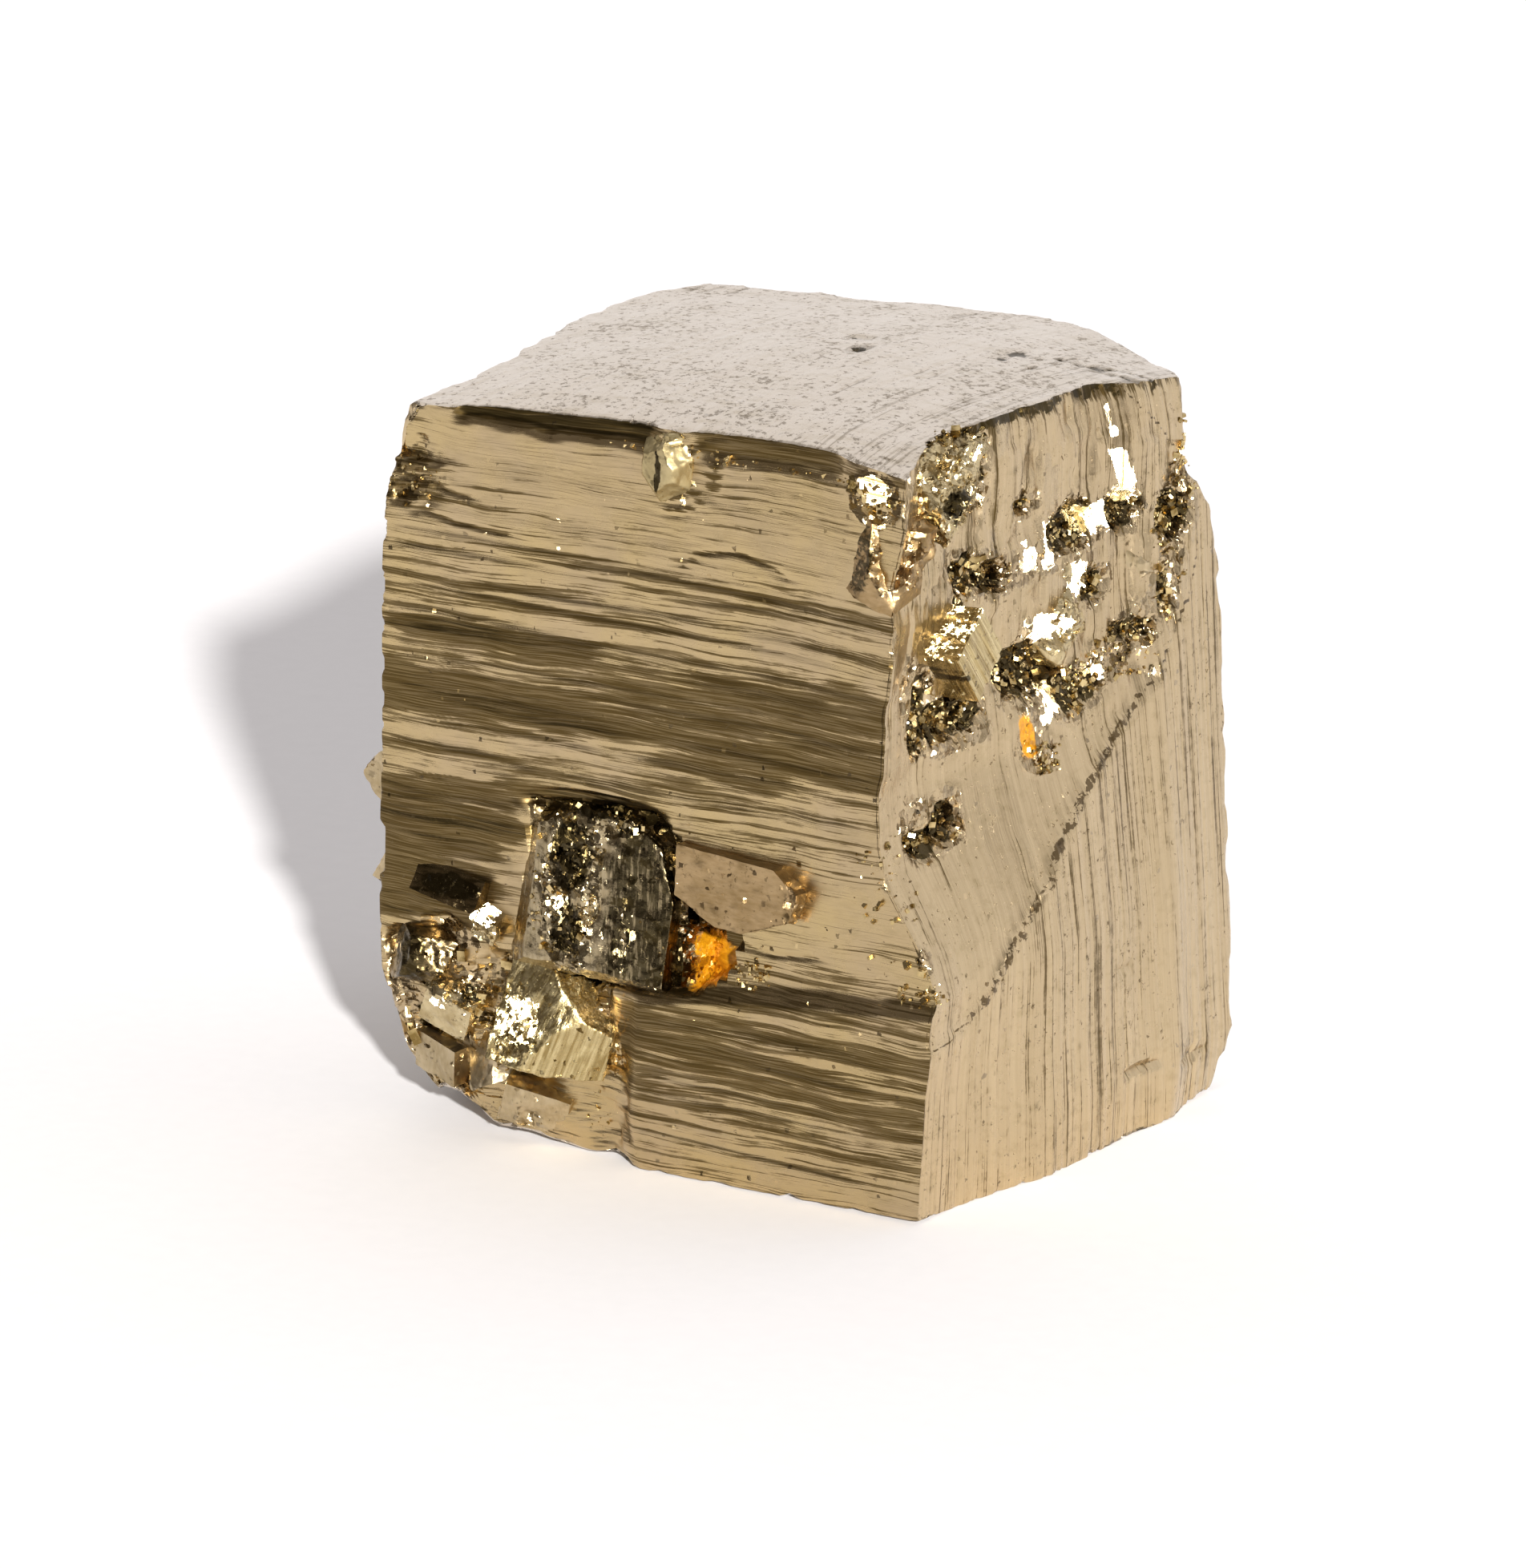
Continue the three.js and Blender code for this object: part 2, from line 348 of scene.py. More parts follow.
def striae(shader, facing):
    """Grain drawn out level on front and back, upright on the sides, along Y on top."""
    front, side, top = facing
    waves = shader.noise((0.12, 0.12, 0.35), 1.0, 2.0) - 0.5
    bend = shader.node("ShaderNodeCombineXYZ", {}, {2: waves * 0.9}).out(0)

    def lined(scale, detail, harsh):
        level = shader.noise(ALONG_X, scale, detail, harsh, bend=bend) * front
        upright = shader.noise(ALONG_Z, scale, detail, harsh) * side
        return level + upright + shader.noise(ALONG_Y, scale, detail, harsh) * top

    return lined(2.5, 4.0, 0.6), lined(8.5, 3.0, 0.7), lined(15.0, 2.0, 0.6)


def host_finish():
    """The big cube: striae that follow each face, tarnishing mixed with painted shade, stains, specks and
    broken places.
    """
    material, shader = new_material("striated_pyrite")
    facing = read_marks(shader, "facing")
    front, side, top = facing
    tarnish_and_shade, rust, rough = read_marks(shader, "state")
    pit, rim, gleam = read_marks(shader, "breaks")

    coarse, fine, hairlines = striae(shader, facing)
    slanted = shader.noise(ALONG_X, 3.2, 3.0, 0.6, (0, 0.05, 0)) - 0.5
    grain = shader.noise((1, 1, 1), 5.0, 5.0, 0.65)
    cloud = shader.noise((1, 1, 1), 0.22, 4.0)
    wisps = shader.noise((0.3, 0.7, 1), 1.6, 6.0, 0.7)
    dust = shader.noise((1, 1, 1), 2.4, 6.0, 0.75)
    crumb_chances, chunk_chances, patchwork = broken_grain(shader, 4.5, 1.7)
    chance, second_chance, third_chance = crumb_chances
    chunk_chance, chunk_second, chunk_third = chunk_chances

    rim_zone = shader.ramp(rim, (0.24, 0.0), (0.42, 1.0), (0.52, 1.0), (0.64, 0.0))
    rim_chance = 0.9 * (chance - 0.5) + 0.9 * (chunk_chance - 0.5) + 2.0 * (wisps - 0.5)
    rim_holes = shader.rise(rim_zone * (0.6 + rim_chance), 0.5, 0.62)
    facet_chance = 0.5 * (grain - 0.5) + 0.3 * (chunk_third - 0.5)
    facet_share = shader.rise(rough + facet_chance, 0.38, 0.6)
    hole_chance = 0.8 * (chunk_chance - 0.5) + 0.35 * (chance - 0.5) + 0.3 * (grain - 0.5)
    hole = shader.rise(pit * (1.12 + 1.3 * hole_chance), 0.42, 0.5)
    sparks = shader.rise(second_chance, 0.991, 0.993)
    lit_chance = 0.7 * (chunk_second - 0.5) + 0.12 * (third_chance - 0.5) + 0.25 * (grain - 0.5)
    lit = shader.rise(gleam + lit_chance, 0.48, 0.52)

    brass = shader.mix(shader.rise(cloud, 0.35, 0.65), WARM_BRASS, COOL_BRASS)
    # Painted light: the sides are given a lighter brass than the front.
    side_brass_painted_lighter = shader.mix(side, brass, SIDE_BRASS_PAINTED_LIGHTER)
    pale = shader.mix(top, side_brass_painted_lighter, TOP_SILVER)
    soft_bands = shader.rise(coarse * 0.6 + fine * 0.4, 0.38, 0.6)
    banded = shader.mix(0.5 * soft_bands * (side + 0.25 * top), pale, BAND_BROWN)
    # Dark striae: the mark channel and the striae lines darken the colour, partly tarnishing and partly
    # painted shade for striae that lean back.
    lines = (1.9 * (fine - 0.5) + 2.3 * (coarse - 0.5)) * (1 - 0.4 * top)
    share = tarnish_and_shade + lines + 0.7 * (wisps - 0.5) + 0.8 * slanted * front
    light_lines = shader.rise(hairlines, 0.47, 0.58)
    dark = shader.ramp(share, (0.36, 0.0), (0.47, 0.82), (0.75, 1.0))
    dark = dark * (1 - 0.24 * light_lines) * (1 - 0.45 * top)
    blotchy = shader.mix(shader.ramp(wisps, (0.5, 0.0), (0.7, 0.35)), banded, BLOTCH_BROWN)
    dull = shader.mix(dark * 0.95, blotchy, TARNISH_AND_SHADE_BROWN)
    black = shader.ramp(share * 0.5, (0.6, 0.0), (0.85, 0.85))
    dull = shader.mix(black, dull, DEEP_TARNISH_AND_SHADE)
    speck_chance = dust + 0.25 * (cloud - 0.5) + 0.1 * top + 0.05 * side
    specks = shader.rise(speck_chance, 0.66, 0.7) * (1 - 0.8 * front)
    stained = shader.mix(specks * (0.75 - 0.2 * top), dull, SPECK)
    dirty = shader.mix(rim_holes * 0.85, stained, RIM_DIRT)
    deep = shader.mix(hole * 0.94, dirty, PIT_DIRT_AND_SHADE)
    ochre = shader.mix(grain, RUST_BROWN, RUST_ORANGE)
    rust_chance = 0.3 * (grain - 0.5) + 0.2 * (chance - 0.5)
    rusted = shader.rise(rust + rust_chance, 0.3, 0.55)
    colour = shader.mix(rusted, deep, ochre)

    gloss = 0.2 + 0.12 * dark + 0.14 * cloud + 0.25 * specks - 0.08 * facet_share
    bump = 0.5 * coarse + 0.4 * fine + 0.09 * grain * (1 + 4 * rough) - 0.2 * specks
    sockets = {"Base Color": colour, "Metallic": 1 - 0.75 * rusted, "Roughness": gloss}
    slabs = shader.crumbs(0.9, (1, 1, 0.35))
    slab_share = shader.ramp(rough, (0.05, 0.0), (0.28, 0.25))
    slabby = shader.mix(facet_share, slabs, patchwork)
    strength = shader.math("MAXIMUM", facet_share, slab_share) + sparks * 0.8 + rim_zone * 0.4
    facets = shader.facets(slabby, strength, lit)
    close_material(shader, sockets, (bump, 0.055, 0.85), facets)
    return material


def crystal_finish(name, bright, dull, stretch, gloss, streak, depth, lean=(0, 0, 0)):
    """A smaller crystal: two metal tones in streaks and clouds, fine grain and broken places."""
    material, shader = new_material(name)
    broken, gleam, shade = read_marks(shader, "state")
    streaks = shader.noise(stretch, 5.0, 4.0, lean=lean)
    grain = shader.noise((1, 1, 1), 6.0, 5.0, 0.65)
    cloud = shader.noise((1, 1, 1), 0.6, 3.0)
    dust = shader.noise((1, 1, 1), 2.8, 6.0, 0.75)
    crumb_chances, chunk_chances, patchwork = broken_grain(shader, 4.2, 1.6)
    chance, second_chance, third_chance = crumb_chances
    chunk_chance, chunk_second, _ = chunk_chances
    facet_share = shader.rise(broken + 0.5 * (grain - 0.5), 0.38, 0.6)
    sparks = shader.rise(second_chance, 0.955, 0.96)
    lit_chance = 0.35 * (chunk_second - 0.5) + 0.35 * (third_chance - 0.5) + 0.8 * (streaks - 0.5)
    lit = shader.rise(gleam + lit_chance, 0.48, 0.52)
    share = shader.rise(streaks * streak + cloud * (1 - streak), 0.38, 0.6)
    clean = shader.mix(share, (*dull, 1), (*bright, 1))
    blackened = shader.rise(shade + 1.3 * (streaks - 0.5), 0.3, 0.45)
    colour = shader.mix(blackened * 0.9, clean, CRYSTAL_TARNISH_AND_SHADE)
    specks = shader.rise(dust, 0.6, 0.66)
    hole_chance = 0.7 * (chunk_chance - 0.5) + 0.4 * (chance - 0.5)
    hole = shader.rise(shade * (0.9 + 1.6 * hole_chance), 0.5, 0.6)
    colour = shader.mix(specks * 0.55, colour, CRYSTAL_SPECK)
    colour = shader.mix(hole * 0.92, colour, CRYSTAL_PIT)
    roughness = gloss + 0.16 * grain + 0.2 * specks
    sockets = {"Base Color": colour, "Metallic": 1.0, "Roughness": roughness}
    bump = streak * 1.6 * streaks + 0.3 * grain - 0.2 * specks
    facets = shader.facets(patchwork, facet_share + sparks * 0.8, lit)
    close_material(shader, sockets, (bump, depth, 0.7), facets)
    return material


def make_finishes():
    """The finishes of the smaller crystals and grains: name, bright and dull tone, stretch of the
    streaks, gloss, share of streaks, depth of the grain, and lean of the streaks."""
    rows = {
        "dark": ("dark_tarnished_pyrite", (0.46, 0.38, 0.24), (0.3, 0.235, 0.13), (1, 1, 0.05),
                 0.15, 0.65, 0.05),
        "ribbed": ("ribbed_pyrite", (0.66, 0.55, 0.3), (0.34, 0.25, 0.1), (1, 1, 0.03),
                   0.2, 0.8, 0.06, (0, -0.42, 0)),
        "striped": ("striped_pale_pyrite", (0.7, 0.58, 0.32), (0.34, 0.25, 0.1), (1, 1, 0.03),
                    0.17, 0.8, 0.06, (-0.7, 0, 0)),
        "brass": ("smooth_brass_pyrite", (0.56, 0.46, 0.25), (0.46, 0.37, 0.19), (1, 1, 1),
                  0.33, 0.3, 0.03),
        "black": ("black_tarnished_pyrite", (0.3, 0.22, 0.11), (0.06, 0.042, 0.015), (0.1, 1, 1),
                  0.16, 0.5, 0.04),
        "grey": ("rosy_grey_pyrite", (0.54, 0.44, 0.28), (0.38, 0.295, 0.165), (1, 1, 0.4),
                 0.24, 0.3, 0.04),
        "dusky": ("dusky_rosy_pyrite", (0.45, 0.32, 0.17), (0.31, 0.21, 0.095), (0.3, 1, 1),
                  0.28, 0.4, 0.04),
        "pale": ("pale_clean_pyrite", (0.66, 0.55, 0.33), (0.42, 0.32, 0.16), (0.6, 1, 0.2),
                 0.17, 0.4, 0.03),
        "spark": ("sparkling_grains", (0.74, 0.58, 0.29), (0.22, 0.15, 0.05), (1, 1, 1),
                  0.12, 0.2, 0.01),
    }
    return {name: crystal_finish(*row) for name, row in rows.items()}


# ---------------------------------------------------------------- pieces


def link(thing):
    bpy.context.scene.collection.objects.link(thing)


def add_piece(name, mesh, material, *nodes):
    """Places a mesh made in millimetres round HOME and ties it to the frame."""
    mesh.transform(Matrix.Translation(HOME) @ Matrix.Diagonal((MM, MM, MM, 1)))
    mesh.materials.append(material)
    piece = bpy.data.objects.new(name, mesh)
    link(piece)
    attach(piece, "root")
    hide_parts(*nodes)
    return piece


def to_mesh(bm, name):
    """Ends a bmesh as a mesh with its faces pointing out."""
    bmesh.ops.recalc_face_normals(bm, faces=bm.faces)
    mesh = bpy.data.meshes.new(name)
    bm.to_mesh(mesh)
    bm.free()
    return mesh


def read_vectors(rows, name):
    """One vector from every vertex or face of a mesh."""
    flat = np.empty(len(rows) * 3)
    rows.foreach_get(name, flat)
    return flat.reshape(-1, 3)


def read_numbers(rows, name):
    """One whole number from every corner or face of a mesh."""
    flat = np.empty(len(rows), int)
    rows.foreach_get(name, flat)
    return flat


def read_places(mesh):
    return read_vectors(mesh.vertices, "co")


def write_places(mesh, places):
    mesh.vertices.foreach_set("co", places.ravel())
    mesh.update()


# ---------------------------------------------------------------- the big cube's plain form

# How far each corner strays from a true box, in mm. A corner is named by its side on X, Y and Z:
# L or R, F or B (front, back), D or U (down, up).
CORNERS = {
    "LFD": (2.9, 1.0, 1.6),
    "RFD": (0.2, 0, 0.2),
    "LBD": (0.7, -0.6, 0.2),
    "RBD": (1.3, -2.0, 0.2),
    "LFU": (1.9, -0.1, -0.5),
    "RFU": (-0.8, 0, -0.2),
    "LBU": (1.3, -0.2, 0),
    "RBU": (-0.8, -2.9, -0.4),
}

# How far each edge strays between its corners: (share of its length, dx, dy, dz).
EDGES = {
    ("LFD", "RFD"): ((0.09, 0, 0.6, 2.0), (0.15, 0, 0.3, 1.9), (0.21, 0, 0.1, 0.5), (0.28, 0, 0, 0.6),
                     (0.38, 0, 0, 0.1), (0.44, 0, 0, 0.45), (0.49, 0, 0, 0.05)),
    ("LBD", "RBD"): ((0.3, 0, -0.3, 0), (0.7, 0, 0.2, 0)),
    ("LFU", "RFU"): ((0.21, 0, 0.5, 0), (0.35, 0, 0.8, 0.1), (0.5, 0, 1.2, 0.2), (0.7, 0, 1.5, 0.3),
                     (0.81, 0, 1.1, 0.3), (0.88, 0, 0.5, 0.1)),
    ("LBU", "RBU"): ((0.15, 0, 0.8, 0), (0.38, 0, 2.3, 0), (0.62, 0, 3.2, 0), (0.72, 0, 2.4, -0.1),
                     (0.8, 0, 0.8, -0.2), (0.88, 0, -1.0, -0.3)),
    ("LFD", "LBD"): ((0.3, 0.4, 0, 0), (0.7, -0.2, 0, 0)),
    ("RFD", "RBD"): ((0.1, 0.2, 0, 0), (0.24, 0.9, 0, 0), (0.34, 1.7, 0, 0), (0.63, 1.6, 0, 0),
                     (0.73, 2.1, 0, 0), (0.8, 1.5, 0, 0)),
    ("LFU", "LBU"): ((0.2, 2.5, 0, -0.1), (0.34, 2.1, 0, 0), (0.47, 1.1, 0, 0), (0.58, 0.5, 0, 0),
                     (0.7, 0.1, 0, 0), (0.83, -0.3, 0, 0), (0.93, 0.5, 0, 0)),
    ("RFU", "RBU"): ((0.1, -1.9, 0, 0.5), (0.3, -2.0, 0, 0.8), (0.5, -1.7, 0, 0.7), (0.66, -1.9, 0, 0.5),
                     (0.8, -0.9, -0.8, 0.1)),
    ("LFD", "LFU"): ((0.1, 1.1, 0.3, 0), (0.2, 0.25, 0, 0), (0.33, 0.1, 0, 0), (0.55, 0.4, 0, 0),
                     (0.75, 0.5, 0, 0), (0.85, 0.7, 0, 0), (0.9, 1.0, 0, 0), (0.95, 1.5, 0, 0)),
    ("RFD", "RFU"): ((0.17, 0.6, 0, 0), (0.3, 1.3, 0, 0)),
    ("LBD", "LBU"): ((0.25, 0.4, 0.3, 0), (0.5, -0.3, -0.2, 0), (0.75, 0.2, 0.4, 0)),
    ("RBD", "RBU"): ((0.08, 1.6, -1.1, 0), (0.25, 1.1, -0.6, 0), (0.5, 0.5, -0.4, 0), (0.7, 0.1, -0.4, 0),
                     (0.78, 0, -0.8, 0), (0.83, -0.1, -1.8, 0), (0.86, -0.2, -2.8, 0),
                     (0.93, -0.3, -3.6, 0)),
}

# The broken hollow beside the front right edge: (share of the height, how deep at the edge), and
# how far back it reaches: (height, reach from the front edge). It ends in a low broken step.
HOLLOW_DEPTHS = ((0.3, 0), (0.35, 0.55), (0.4, 1.6), (0.45, 2.75), (0.5, 3.0), (0.57, 2.9),
                 (0.68, 2.3), (0.8, 1.2), (0.85, 1.35), (0.93, 0.4), (1, 0))
HOLLOW_REACH = ((0, -0.7), (9.5, -0.7), (9.9, 3.0), (10.3, 4.4), (12, 6.2), (13.4, 7.8), (15, 9.7),
                (16, 11.2), (17.5, 12.4), (18.6, 14.2), (19.6, 15.2), (20.8, 17.2), (21.8, 19.2),
                (24.5, 23.7), (28, 27), (31, 28), (36, 26), (40, 22))
BREAK_STEP = 0.24
EDGE_SAMPLES = 401
EDGE_BLUR = 5
TOP_SWELL = 0.4


def corner_shares(name):
    return np.array((name[0] == "R", name[1] == "B", name[2] == "U"), float)


def read_edge(ends, stray, shares):
    """The stray of an edge at the given shares of its length, with its kinks rounded."""
    points = [(0, *CORNERS[ends[0]]), *stray, (1, *CORNERS[ends[1]])]
    places = [point[0] for point in points]
    steps = np.linspace(0, 1, EDGE_SAMPLES)
    blur = np.hanning(4 * EDGE_BLUR + 3)
    rounded = []
    for axis in (1, 2, 3):
        plain = np.interp(steps, places, [point[axis] for point in points])
        pad = np.pad(plain, len(blur) // 2, mode="reflect", reflect_type="odd")
        rounded.append(np.interp(shares, steps, np.convolve(pad, blur / blur.sum(), "valid")))
    return np.stack(rounded, -1)


def hollow_reach(height):
    return np.interp(height, *zip(*HOLLOW_REACH))


def broken_hollow(shares):
    """How deep the hollow of the right face is at each share."""
    depth = np.interp(shares[:, 2], *zip(*HOLLOW_DEPTHS))
    reach = hollow_reach(shares[:, 2] * HEIGHT)
    left = np.clip(1 - shares[:, 1] * DEPTH / reach, 0, 1)
    return depth * left * shares[:, 0]


def plain_form(shares):
    """Moves shares of the box, 0 to 1 on each axis, to places on the strayed cube, in mm."""
    places = (shares - (0.5, 0.5, 0)) * (WIDTH, DEPTH, HEIGHT)
    for ends, stray in EDGES.items():
        start, end = corner_shares(ends[0]), corner_shares(ends[1])
        along = int(np.argmax(start != end))
        weight = np.ones(len(shares))
        for axis in {0, 1, 2} - {along}:
            weight *= 1 - np.abs(shares[:, axis] - start[axis])
        places += read_edge(ends, stray, shares[:, along]) * weight[:, None]
    for name, offset in CORNERS.items():
        weight = np.prod(1 - np.abs(shares - corner_shares(name)), axis=1)
        places -= 2 * weight[:, None] * np.array(offset)
    places[:, 0] -= broken_hollow(shares)
    middle = np.sin(np.pi * shares[:, 0]) * np.sin(np.pi * shares[:, 1])
    places[:, 2] += TOP_SWELL * middle * shares[:, 2]
    return places


# ---------------------------------------------------------------- relief of the front face

# Growth bands that lean back, and so look dark: (height, left end, right end, thickness, lean).
FRONT_BANDS = (
    (32.0, -16, 15, 0.13, 0.3),
    (31.2, 2, 15, 0.12, 0.35),
    (30.1, -12, 2, 0.15, 0.3),
    (28.7, -16, -5, 0.2, 0.25),
    (27.6, -14, -4, 0.45, 0.3),
    (27.0, 3, 15, 0.5, 0.3),
    (26.0, -16, 14, 0.16, 0.3),
    (24.6, -16, 14, 0.5, 0.28),
    (23.6, -16, -2, 0.7, 0.26),
    (23.1, 3, 14, 0.5, 0.3),
    (21.8, 0, 9, 0.9, 0.25),
    (18.5, -17, -9, 0.4, 0.34),
    (17.4, -17, -9, 0.45, 0.34),
    (15.4, -17, -12, 0.3, 0.3),
    (8.3, 0, 17, 0.3, 0.25),
    (7.0, 2, 18, 0.35, 0.28),
    (5.4, 1, 18, 0.4, 0.25),
)
# How much of the front face is taken up by dark striae, tarnishing and painted shade in one: (left,
# right, low, high, share).
FRONT_TARNISH_AND_SHADE = (
    (-14, 15, 32.9, 39, 0.1),
    (-18, 16, 31.5, 32.5, 0.42),
    (-18, -6, 28.2, 31.4, 0.34),
    (-6, 16, 28.2, 31.4, 0.3),
    (-15, -4, 26.8, 28.0, 0.9),
    (-4, 3, 26.6, 28.0, 0.42),
    (3, 16, 26.2, 27.8, 0.8),
    (-18, 16, 25.2, 26.8, 0.5),
    (-18, -4, 22.9, 25.3, 0.9),
    (-4, 3, 23.2, 25.2, 0.7),
    (3, 16, 22.6, 25.2, 0.74),
    (-1, 10, 20.8, 22.8, 0.68),
    (-18, 0, 20.0, 22.6, 0.34),
    (9, 15, 20.5, 22.5, 0.42),
    (-18, -8, 16.9, 19.2, 1.15),
    (-8, 0, 18.8, 20.0, 0.7),
    (1, 13, 18.0, 20.6, 0.36),
    (-18, -10, 11.5, 16.8, 0.85),
    (8, 18, 12.8, 17.8, 0.08),
    (4, 19, 11.0, 12.2, 0.38),
    (-1, 19, 9.4, 11.0, 0.4),
    (-1, 19, 4.6, 9.4, 0.58),
    (-1, 19, 2.4, 4.6, 0.38),
    (-1, 19, -1, 2.4, 0.16),
)
# Where fine striae stand out from the face: (left, right, low, high, strength).
STRIAE_ZONES = (
    (-18, 16, 22.3, 32.8, 0.7),
    (-18, -9, 12, 19, 0.8),
    (-1, 19, 1.5, 11, 0.7),
    (-2, 12, 19.5, 22.5, 0.5),
    (-18, 16, 32.8, 37, 0.25),
    (8, 18, 12.5, 19, 0.15),
    (-14, -2, 19.3, 22.3, 0.3),
)
# The map's cells, how wide it is smoothed, and how much painted shade darkens a step that leans back.
MAP_STEP = 0.08
MAP_BLUR = 3.2
STEP_PAINTED_SHADE = 1.0
# Outlines on the front face: the hollow round the dark block, the broken lower left part, the
# rusty cavity and the raised lower part.
BLOCK_HOLLOW = [(-7.2, 19.3), (0.2, 19.5), (2.6, 17.6), (3.4, 14.6), (3.2, 10.2), (-4, 9.4), (-7.2, 9.6)]
CLUSTER_HOLLOW = [(-16.6, 10.6), (-12, 12.2), (-9.4, 10.6), (-2.2, 9.6), (-1.2, 6), (-1.6, -1), (-18, -1)]
CAVITY = [(2.4, 15.0), (5.7, 13.9), (4.9, 11.5), (2.2, 9.9)]
SLAB = [(-1.0, 9.8), (2, 10.3), (6, 11.0), (12, 11.6), (20, 12.2), (20, -2), (-1.2, -2)]
KNOB_AT = (0.7, 38.4)
# Fine cracks and growth lines across the striae.
FRONT_CRACKS = (
    ((1.7, 33.0), (2.8, 33.8), (5.0, 34.1), (7.0, 33.8), (8.3, 33.1)),
    ((-14.0, 34.0), (-12.0, 33.5), (-9.0, 33.3)),
    ((-16.0, 36.2), (-13.4, 35.3), (-11.0, 35.0)),
    ((5.6, 13.4), (7.6, 12.9), (10.4, 13.2)),
    ((-1.0, 9.6), (-1.3, 5.0), (-0.8, 0.4)),
)


def front_lean(x, z):
    """How steeply the front face leans back at each place of a map."""
    lean = 0
    for number, (height, left, right, thick, amount) in enumerate(FRONT_BANDS):
        wander = 0.22 * field(x / 9, 0 * x, 50 + number) + 0.05 * field(x / 2.5, 0 * x, 150 + number)
        ends = window(x, left, right, 1.5) * (0.8 + 0.35 * field(x / 4, z / 0.2, 250 + number))
        core = np.exp(-(((z - height - wander) / thick) ** 2))
        lean = lean + amount * ends * ease_in(core, 0.3, 0.6)
    strength = 0.1
    for left, right, low, high, amount in STRIAE_ZONES:
        strength = np.maximum(strength, amount * window(x, left, right, 1.2) * window(z, low, high, 0.7))
    warped = z + 0.25 * field(x / 14, z / 6, 3) + 0.015 * x
    wide = ease_in(field(x / 22, warped / 0.5, 4), 0.2, 0.4)
    thin = ease_in(field(x / 26, warped / 0.24, 5), 0.15, 0.4)
    return 0.75 * lean + strength * (0.2 * wide + 0.26 * thin)


def front_tarnish_and_shade(x, z):
    """The share of dark striae at each place of the front face: tarnishing together with painted shade
    for striae that lean back.
    """
    wavy = z + 0.35 * field(x / 6, z / 4, 21) + 0.12 * field(x / 2, z / 2, 22)
    shifted = x + 1.2 * field(x / 4, z / 0.6, 23)
    share = 0.2
    for left, right, low, high, amount in FRONT_TARNISH_AND_SHADE:
        place = window(shifted, left, right, 1.6) * window(wavy, low, high, 0.35)
        share = share + (amount - share) * place
    slant = field((x + 6 * z) / 20, (z + 0.12 * x) / 0.55, 24)
    return np.clip(share - 0.45 * ease_in(slant, 0.35, 0.6) * share, 0, 1)


class FrontMap:
    """The front face's lean, and the height that it adds up to, on a fine map."""

    def __init__(self):
        self.x = np.arange(-20, 20, 2.5 * MAP_STEP)
        self.z = np.arange(-2, 43, MAP_STEP)
        across, up = np.meshgrid(self.x, self.z, indexing="ij")
        self.lean = front_lean(across, up)
        height = -np.cumsum(self.lean, axis=1) * MAP_STEP
        width = int(MAP_BLUR / MAP_STEP) | 1
        kernel = np.hanning(width + 2)[1:-1]
        kernel /= kernel.sum()
        padded = np.pad(height, ((0, 0), (width // 2,) * 2), mode="reflect", reflect_type="odd")
        trend = np.apply_along_axis(np.convolve, 1, padded, kernel, "valid")
        self.height = height - trend

    def read(self, layer, x, z):
        """Straight-line reading of the map between its points."""
        i = np.clip((x - self.x[0]) / (self.x[1] - self.x[0]), 0, len(self.x) - 1.001)
        j = np.clip((z - self.z[0]) / MAP_STEP, 0, len(self.z) - 1.001)
        low_i, low_j = i.astype(int), j.astype(int)
        part_i, part_j = i - low_i, j - low_j
        near = layer[low_i, low_j] * (1 - part_j) + layer[low_i, low_j + 1] * part_j
        far = layer[low_i + 1, low_j] * (1 - part_j) + layer[low_i + 1, low_j + 1] * part_j
        return near * (1 - part_i) + far * part_i


FRONT_MAP = FrontMap()


